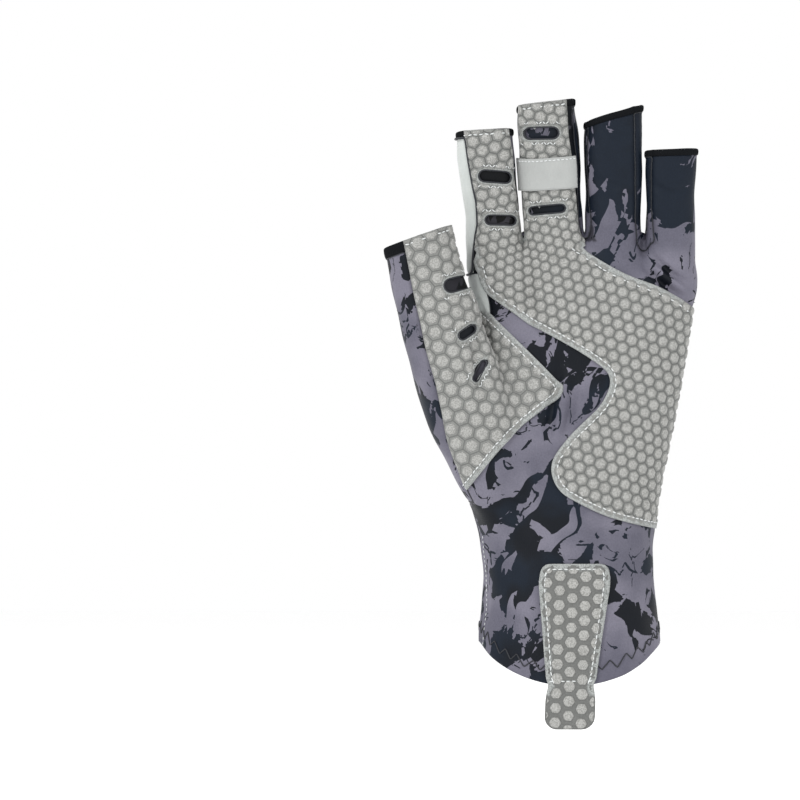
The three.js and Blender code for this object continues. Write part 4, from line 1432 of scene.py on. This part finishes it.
TAB_PADS = Pads(5.8, 2.0, 2.35, 0.55)
# no painted crease shade between the tab's pads
tab_suede = grip_suede_material("tab_grip_suede", TAB_PADS, 0.0, "575856", "676866")
tab_part, _ = carve(*tab_net(), tab_field)
points, faces = largest(*tab_part)
points = np.hstack([points, points[:, [0, 2]]])
tab_cut = Cut(points, faces, TAB_LIFT)
all_sewn = tab_cut.edge_spots[:, 1] > TAB_SEWN_FROM
tab_padding = pads_on(tab_cut, TAB_PADS, all_sewn, [], 5)
edge_gap = tab_cut.border_gap(points[:, 6:8], all_sewn)
rim = 1 - smooth_step(edge_gap, 2.2, 2.8)
press = stitch_press(edge_gap, TAB_STITCH_INSET, 0.25)
tab, raised, places = patch_piece(
    "cuff_pull_tab", (points, faces), TAB_LIFT, tab_padding, tab_suede, plain_suede, rim, press
)
tab.name = "cuff_pull_tab_cloth"
declare_cloth(tab, places, faces)


# The seams and their thread. The panels meet in thin dark ridges, topstitched with fine white
# thread on the back of the fingers and dark thread in front. White thread holds the patches, the
# strap and the tab, and rows of it strengthen the slots.

white_thread = yarn_material("white_thread", "b9bcbc", "dcdfdf", 3.0, 0.15, 0.6, 0.1)
dark_thread = yarn_material("dark_thread", "0f1116", "24272e", 3.0, 0.15, 0.6, 0.1)


def new_line_tree(name, inputs):
    """A modifier's node group that takes lines, some numbers and a material."""
    tree = bpy.data.node_groups.new(name, "GeometryNodeTree")
    tree.interface.new_socket("Geometry", in_out="INPUT", socket_type="NodeSocketGeometry")
    for label in inputs:
        tree.interface.new_socket(label, in_out="INPUT", socket_type="NodeSocketFloat")
    tree.interface.new_socket("Thread", in_out="INPUT", socket_type="NodeSocketMaterial")
    tree.interface.new_socket("Geometry", in_out="OUTPUT", socket_type="NodeSocketGeometry")
    start = tree.nodes.new("NodeGroupInput")
    given = {socket.name: Socket(tree, socket) for socket in start.outputs if socket.name}
    return tree, given


def end_line_tree(tree, shape, given):
    """Ends a group with its shape made real, smooth and in its thread's material."""
    whole = node(tree, "GeometryNodeRealizeInstances", None, shape)
    smooth = node(tree, "GeometryNodeSetShadeSmooth", None, whole, True, True)
    threaded = node(tree, "GeometryNodeSetMaterial", None, smooth, True, given["Thread"])
    end = tree.nodes.new("NodeGroupOutput")
    tree.links.new(threaded.socket, end.inputs[0])
    return tree


def stitch_tree():
    """Separate stitches along lines: each is a short rounded bar, turned one way and the other."""
    tree, given = new_line_tree("stitches_along_lines", ["Pitch", "Length", "Width", "Turn"])
    curve = node(tree, "GeometryNodeMeshToCurve", None, given["Geometry"])
    spaced = node(tree, "GeometryNodeResampleCurve", {"mode": "LENGTH"}, curve, Length=given["Pitch"])
    ball = node(tree, "GeometryNodeMeshUVSphere", None, 6, 5, 0.5)
    width, length = given["Width"], given["Length"]
    size = node(tree, "ShaderNodeCombineXYZ", None, width, width * 0.75, length)
    bar = node(tree, "GeometryNodeTransform", None, ball, Scale=size)
    out = node(tree, "GeometryNodeInputNamedAttribute", {"data_type": "FLOAT_VECTOR"}, "out")
    along = node(tree, "GeometryNodeInputTangent")
    axes = {"primary_axis": "Z", "secondary_axis": "Y"}
    lying = node(tree, "FunctionNodeAxesToRotation", axes, along, out)
    number = node(tree, "GeometryNodeInputIndex")
    side = number.sum("MODULO", 2.0) * 2.0 - 1.0
    chance = tree.nodes.new("FunctionNodeRandomValue")
    chance.inputs[2].default_value, chance.inputs[3].default_value = -0.12, 0.12
    chance.inputs["Seed"].default_value = 4
    angle = side * given["Turn"] + Socket(tree, chance.outputs[1])
    swing = node(tree, "FunctionNodeAxisAngleToRotation", None, (0.0, 1.0, 0.0), angle)
    turned = node(tree, "FunctionNodeRotateRotation", {"rotation_space": "LOCAL"}, lying, swing)
    sewing = {"Points": spaced, "Instance": bar, "Rotation": turned}
    return end_line_tree(tree, node(tree, "GeometryNodeInstanceOnPoints", None, **sewing), given)


def cord_tree():
    """A round ridge of sewn edge along lines."""
    tree, given = new_line_tree("ridge_along_lines", ["Thickness"])
    curve = node(tree, "GeometryNodeMeshToCurve", None, given["Geometry"])
    even = node(tree, "GeometryNodeResampleCurve", {"mode": "LENGTH"}, curve, Length=0.7 * MM)
    radius = given["Thickness"] * 0.5
    section = node(tree, "GeometryNodeCurvePrimitiveCircle", None, Resolution=6, Radius=radius)
    sweep = {"Curve": even, "Profile_Curve": section, "Fill_Caps": True}
    return end_line_tree(tree, node(tree, "GeometryNodeCurveToMesh", None, **sweep), given)


stitches_along, ridge_along = stitch_tree(), cord_tree()


def sewn_lines(name, tree, lines, thread, slot, **sizes):
    """One piece of stitches or ridge along lines, each given as its places and its ways out."""
    places, ways, edges = [], [], []
    for line, out in lines:
        first = len(places)
        places += (np.asarray(line) * MM).tolist()
        ways += np.asarray(out).tolist()
        edges += [(k, k + 1) for k in range(first, len(places) - 1)]
    mesh = bpy.data.meshes.new(name)
    mesh.from_pydata(places, edges, [])
    mesh.attributes.new("out", "FLOAT_VECTOR", "POINT").data.foreach_set("vector", np.ravel(ways))
    guide = bpy.data.objects.new(name, mesh)
    bpy.context.scene.collection.objects.link(guide)
    sewing = guide.modifiers.new("sewing", "NODES")
    sewing.node_group = tree
    for item in tree.interface.items_tree:
        if item.in_out == "INPUT" and item.name in sizes:
            sewing[item.identifier] = sizes[item.name]
        if item.in_out == "INPUT" and item.name == "Thread":
            sewing[item.identifier] = thread
    graph = bpy.context.evaluated_depsgraph_get()
    shape = bpy.data.meshes.new_from_object(guide.evaluated_get(graph))
    guide.modifiers.clear()
    guide.data = shape
    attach(guide, "root")
    return guide


def loops_of(faces):
    """The borders of a net, each as its points in order."""
    following = dict(net_edges(faces).tolist())
    loops = []
    while following:
        start, here = next(iter(following.items()))
        loop = [start]
        del following[start]
        while here in following:
            loop.append(here)
            here = following.pop(here)
        loops.append(np.array([*loop, here]))
    return loops


def softened_line(places, times):
    """A line with its inner points drawn towards their neighbours, a number of times."""
    for _ in range(times):
        inner = (places[:-2] + 2 * places[1:-1] + places[2:]) / 4
        places = np.concatenate([places[:1], inner, places[-1:]])
    return places


def runs(spots, kept):
    """The kept parts of a closed line."""
    if not kept.all():
        turn = int(np.argmin(kept))
        spots, kept = np.roll(spots, -turn, 0), np.roll(kept, -turn)
    breaks = np.flatnonzero(np.diff(np.concatenate([[0], kept.astype(int), [0]])))
    return [spots[a:b] for a, b in zip(breaks[::2], breaks[1::2])]


def border_lines(net, keep, lift):
    """Runs of a net's border where keep holds, lifted off the cloth."""
    points, faces = net
    lines = []
    for loop in loops_of(faces):
        kept = keep(points[loop, :3])
        if kept[0] and not kept.all():
            loop, kept = loop[:-1], kept[:-1]
        for run in runs(loop, kept):
            if len(run) > 5:
                line = points[run]
                line[:, :3] = softened_line(line[:, :3], 3)
                lines.append((placed(line, lift), line[:, 3:6]))
    return lines


def laid_on(tree, spots, lift=0.15):
    """Lines over flat spots (across, up) laid on a surface as seen from the palm side."""
    lines = [[]]
    for x, z in spots:
        hit, normal, _, _ = tree.ray_cast((x, -100.0, z), (0.0, 1.0, 0.0))
        if hit is None:
            lines.append([])
            continue
        out = np.array(normal) if normal[1] < 0 else -np.array(normal)
        lines[-1].append((np.array(hit) + out * lift, out))
    pairs = [np.array(line).swapaxes(0, 1) for line in lines if len(line) > 3]
    return [(softened_line(places, 4), unit(softened_line(ways, 8))) for places, ways in pairs]


def straight(a, b, least=6, endpoint=True):
    """Points about half a millimetre apart from one spot to another."""
    a, b = np.array(a), np.array(b)
    count = max(least, int(np.linalg.norm(b - a) / 0.5))
    return a + (b - a) * np.linspace(0, 1, count, endpoint=endpoint)[:, None]


def inset(outline, depth):
    """The line that runs inside an outline at a depth, and where it keeps that depth."""
    start, end = outline, np.roll(outline, -1, 0)
    dense = np.concatenate([straight(a, b, 2, False) for a, b in zip(start, end)])
    way = unit(np.roll(dense, -1, 0) - np.roll(dense, 1, 0))
    area = (start[:, 0] * end[:, 1] - end[:, 0] * start[:, 1]).sum()
    inward = np.stack([-way[:, 1], way[:, 0]], 1) * math.copysign(1, area)
    moved = dense + inward * depth
    inside = -outline_distance(moved, outline)
    return moved, inside > depth - 0.12


def evenly(line, count):
    """A line with its points spaced evenly."""
    run = np.concatenate([[0], np.cumsum(np.linalg.norm(np.diff(line, axis=0), axis=1))])
    return np.stack([np.interp(np.linspace(0, run[-1], count), run, column) for column in line.T], 1)


cuts["tab"] = tab_cut
surfaces = {}
for cut_name, cut in cuts.items():
    surfaces[cut_name] = BVHTree.FromPolygons(cut.places.tolist(), cut.faces.tolist())

# how far beside a slot's edge its rows of stitches run, and how far below an open end the end rows
SLOT_ROW_GAP = 1.7
END_ROW_BELOW = 2.0

outline_rows, slot_rows, slot_rims = [], [], []
for patch_name, outline in PATCH_OUTLINES.items():
    line, kept = inset(outline, STITCH_INSET)
    if patch_name == "palm":
        kept &= (line[:, 0] < 47) & (line[:, 1] < 153 + (line[:, 0] > 0) * 3)
    else:
        kept &= line[:, 0] > -62
    for run in runs(line, kept):
        outline_rows += laid_on(surfaces[patch_name], run)
    for x, z, length, width, tilt, run_on in SLOTS[patch_name]:
        turn = math.radians(tilt)
        along = np.array([math.cos(turn), math.sin(turn)])
        up, centre = np.array([-along[1], along[0]]), np.array([x, z])
        for side in (1, -1):
            middle_row = centre + side * up * (width / 2 + SLOT_ROW_GAP)
            reach = along * (length / 2 + 0.6)
            slot_rows += laid_on(surfaces[patch_name], straight(middle_row - reach, middle_row + reach))
        angles = np.linspace(0, 2 * math.pi, 61)
        rounded = np.stack([np.cos(angles), np.sin(angles)], 1) * (width / 2)
        half = length / 2 - width / 2
        rounded[:, 0] += np.where(np.cos(angles) > 0, half + run_on, -half)
        ring_spots = centre + rounded[:, :1] * along + rounded[:, 1:] * up
        slot_rims += laid_on(surfaces[patch_name], evenly(ring_spots, 90), -0.25)


def end_row(digit, left, right):
    """A row across the palm side of a digit, below its open end."""
    shares = np.linspace(left, right, 40)
    depth = -section_depth(shares, digit.squareness)
    rise = digit.end_rise(shares * digit.half_width, depth)
    return digit.place(1 - (END_ROW_BELOW - rise) / digit.length, shares, depth)[:, [0, 2]]


end_rows = laid_on(surfaces["palm"], end_row(index, -0.7, 0.78))
end_rows += laid_on(surfaces["palm"], end_row(middle, -0.88, 0.52))
end_rows += laid_on(surfaces["thumb"], end_row(thumb, -0.3, 0.9))

tab_line, tab_kept = inset(tab_outline(), TAB_STITCH_INSET)
tab_kept &= tab_line[:, 1] > -15.6
tab_rows = []
for run in [*runs(tab_line, tab_kept), straight((-7.6, -15.4), (7.7, -15.2))]:
    tab_rows += laid_on(surfaces["tab"], run)

strap_row = strap_places[strap_columns : 2 * strap_columns]
strap_foot = middle.length - STRAP_START - STRAP_HEIGHT
_, strap_way = digit_ring(middle, strap_foot, 0 * over, strap_angles, STRAP_LEVEL)
strap_rows_line = [(softened_line(strap_row + strap_way * 0.15, 2)[2:-2], strap_way[2:-2])]


def stitches(name, lines, pitch, length, width, turn, thread=white_thread, slot="plain_suede"):
    """Rows of stitches, with sizes in millimetres."""
    sizes = {"Pitch": pitch * MM, "Length": length * MM, "Width": width * MM, "Turn": turn}
    sewn_lines(name, stitches_along, lines, thread, slot, **sizes)


def ridges(name, lines, thickness):
    """Dark ridges, with their thickness in millimetres."""
    sewn_lines(name, ridge_along, lines, dark_thread, "black_hem", Thickness=thickness * MM)


stitches("patch_stitches", outline_rows + end_rows + tab_rows, 2.1, 1.75, 0.55, 0.1)
stitches("slot_stitches", slot_rows, 1.25, 1.45, 0.42, 0.75)
stitches("strap_stitches", strap_rows_line, 1.7, 1.35, 0.45, 0.15)
ridges("slot_edges", slot_rims, 0.8)


def everywhere(p):
    return np.full(len(p), True)


seam_lines, back_rows, front_rows = [], [], []
for panel_name in side_panels:
    net = panels[panel_name]
    seam_lines += border_lines(net, everywhere, 0.05)
    back_rows += border_lines(net, lambda p: p[:, 1] > 1.5, 0.2)
    front_rows += border_lines(net, lambda p: (p[:, 1] < -1.5) & (p[:, 0] > 5.0), 0.2)
seam_lines += border_lines(panels["web_patch"], everywhere, 0.1)
seam_lines += border_lines(panels["thumb_panel"], lambda p: p[:, 2] < 158, 0.1)
strip_lines = border_lines(panels["index_side_panel"], everywhere, 0.75)
ridges("seam_ridges", seam_lines, 0.5)
ridges("index_strip_seams", strip_lines, 0.95)
stitches("back_stitches", back_rows, 1.5, 0.8, 0.3, 0.2)
stitches("front_stitches", front_rows, 2.2, 1.7, 0.5, 0.1, dark_thread, "black_hem")


# The cuff is turned up inside and held by a dark zigzag of thread all round, and the side seam
# next to the thumb is topstitched in white.


def on_cuff(angles, heights, lift):
    """Lines on the cuff's tube, by the way round it and the height."""
    middle_line, width, depth = looked_up(hand_curves, heights)
    across, back = section_ring(angles, HAND_SQUARENESS)
    p = np.stack([middle_line + width / 2 * across, depth / 2 * back, heights], 1)
    points = np.hstack([p, outward(p)])
    return placed(points, lift), points[:, 3:6]


# the zigzag's middle above the cuff's edge, and how far it runs up and down from there
ZIGZAG_HEIGHT = 6.6
ZIGZAG_REACH = 1.9
ZIGZAG_TEETH = 36

teeth = np.arange(ZIGZAG_TEETH * 2)
rng = np.random.default_rng(11)
tooth_angles = (teeth + rng.uniform(-0.18, 0.18, len(teeth))) / len(teeth) * 2 * math.pi
tooth_heights = ZIGZAG_HEIGHT + ZIGZAG_REACH * np.where(teeth % 2, 1, -1)
tooth_heights = tooth_heights + rng.uniform(-0.5, 0.5, len(teeth))
fine, tooth_places = np.linspace(0, len(teeth), len(teeth) * 9), np.append(teeth, len(teeth))
round_angles = np.interp(fine, tooth_places, np.append(tooth_angles, tooth_angles[0] + 2 * math.pi))
round_heights = np.interp(fine, tooth_places, np.append(tooth_heights, tooth_heights[0]))
rim_height = -cuff_drop(np.abs(np.cos(round_angles)))
ridges("cuff_zigzag", [on_cuff(round_angles, rim_height + round_heights, 0.12)], 0.55)

side_heights = np.linspace(-1.0, 60.0, 120)
side_seam = on_cuff(np.full(len(side_heights), math.radians(180 + 17)), side_heights, 0.15)
stitches("side_stitches", [side_seam], 1.9, 1.2, 0.4, 0.1)


# The studio: a plain pale floor below the glove, which is held up by its wrist, and soft light
# from large lamps above, in front and behind.

CAMERA_DISTANCE = 2.5
FIELD_WIDTH = 0.32
AIM = (-0.0676, 0.0, 0.096)
FLOOR_HEIGHT = -90
FLOOR_REACH = 3000
# place, size in metres, watts
LAMPS = [((-0.9, -1.3, 1.2), 0.5, 17.0), ((1.1, -1.1, 0.7), 0.5, 4.0), ((0.3, 1.2, 1.2), 0.5, 15.0)]


def studio():
    """Camera, floor, sky and lamps."""
    scene = bpy.context.scene
    lens = bpy.data.cameras.new("camera")
    lens.sensor_width = 36.0
    lens.lens = 36.0 * CAMERA_DISTANCE / FIELD_WIDTH
    lens.clip_end = 20.0
    camera = bpy.data.objects.new("camera", lens)
    camera.location = (AIM[0], AIM[1] - CAMERA_DISTANCE, AIM[2])
    camera.rotation_euler = (math.pi / 2, 0.0, 0.0)
    scene.collection.objects.link(camera)
    scene.camera = camera
    far = FLOOR_REACH
    corners = [(x, y, FLOOR_HEIGHT) for x, y in ((-far, -far), (far, -far), (far, far), (-far, far))]
    floor = mesh_piece("floor", corners, [(0, 1, 2, 3)], [])
    material, tree = new_material("pale_floor")
    finish_material(tree, (0.97, 0.97, 0.97, 1.0), 0.9)
    floor.data.materials.append(material)
    world = bpy.data.worlds.new("studio")
    world.use_nodes = True
    background = world.node_tree.nodes["Background"]
    background.inputs["Color"].default_value = (1.0, 1.0, 1.0, 1.0)
    background.inputs["Strength"].default_value = 1.0
    scene.world = world
    for place, size, watts in LAMPS:
        lamp = bpy.data.lights.new("soft_lamp", "AREA")
        lamp.size, lamp.energy = size, watts
        holder = bpy.data.objects.new("soft_lamp", lamp)
        holder.location = place
        direction = np.array([0.0, 0.0, 0.1]) - np.array(place)
        level = math.hypot(direction[0], direction[1])
        yaw, pitch = math.atan2(direction[1], direction[0]), math.atan2(-direction[2], level)
        holder.rotation_euler = (0.0, pitch - math.pi / 2, yaw)
        scene.collection.objects.link(holder)
    scene.view_settings.view_transform = "Standard"


studio()
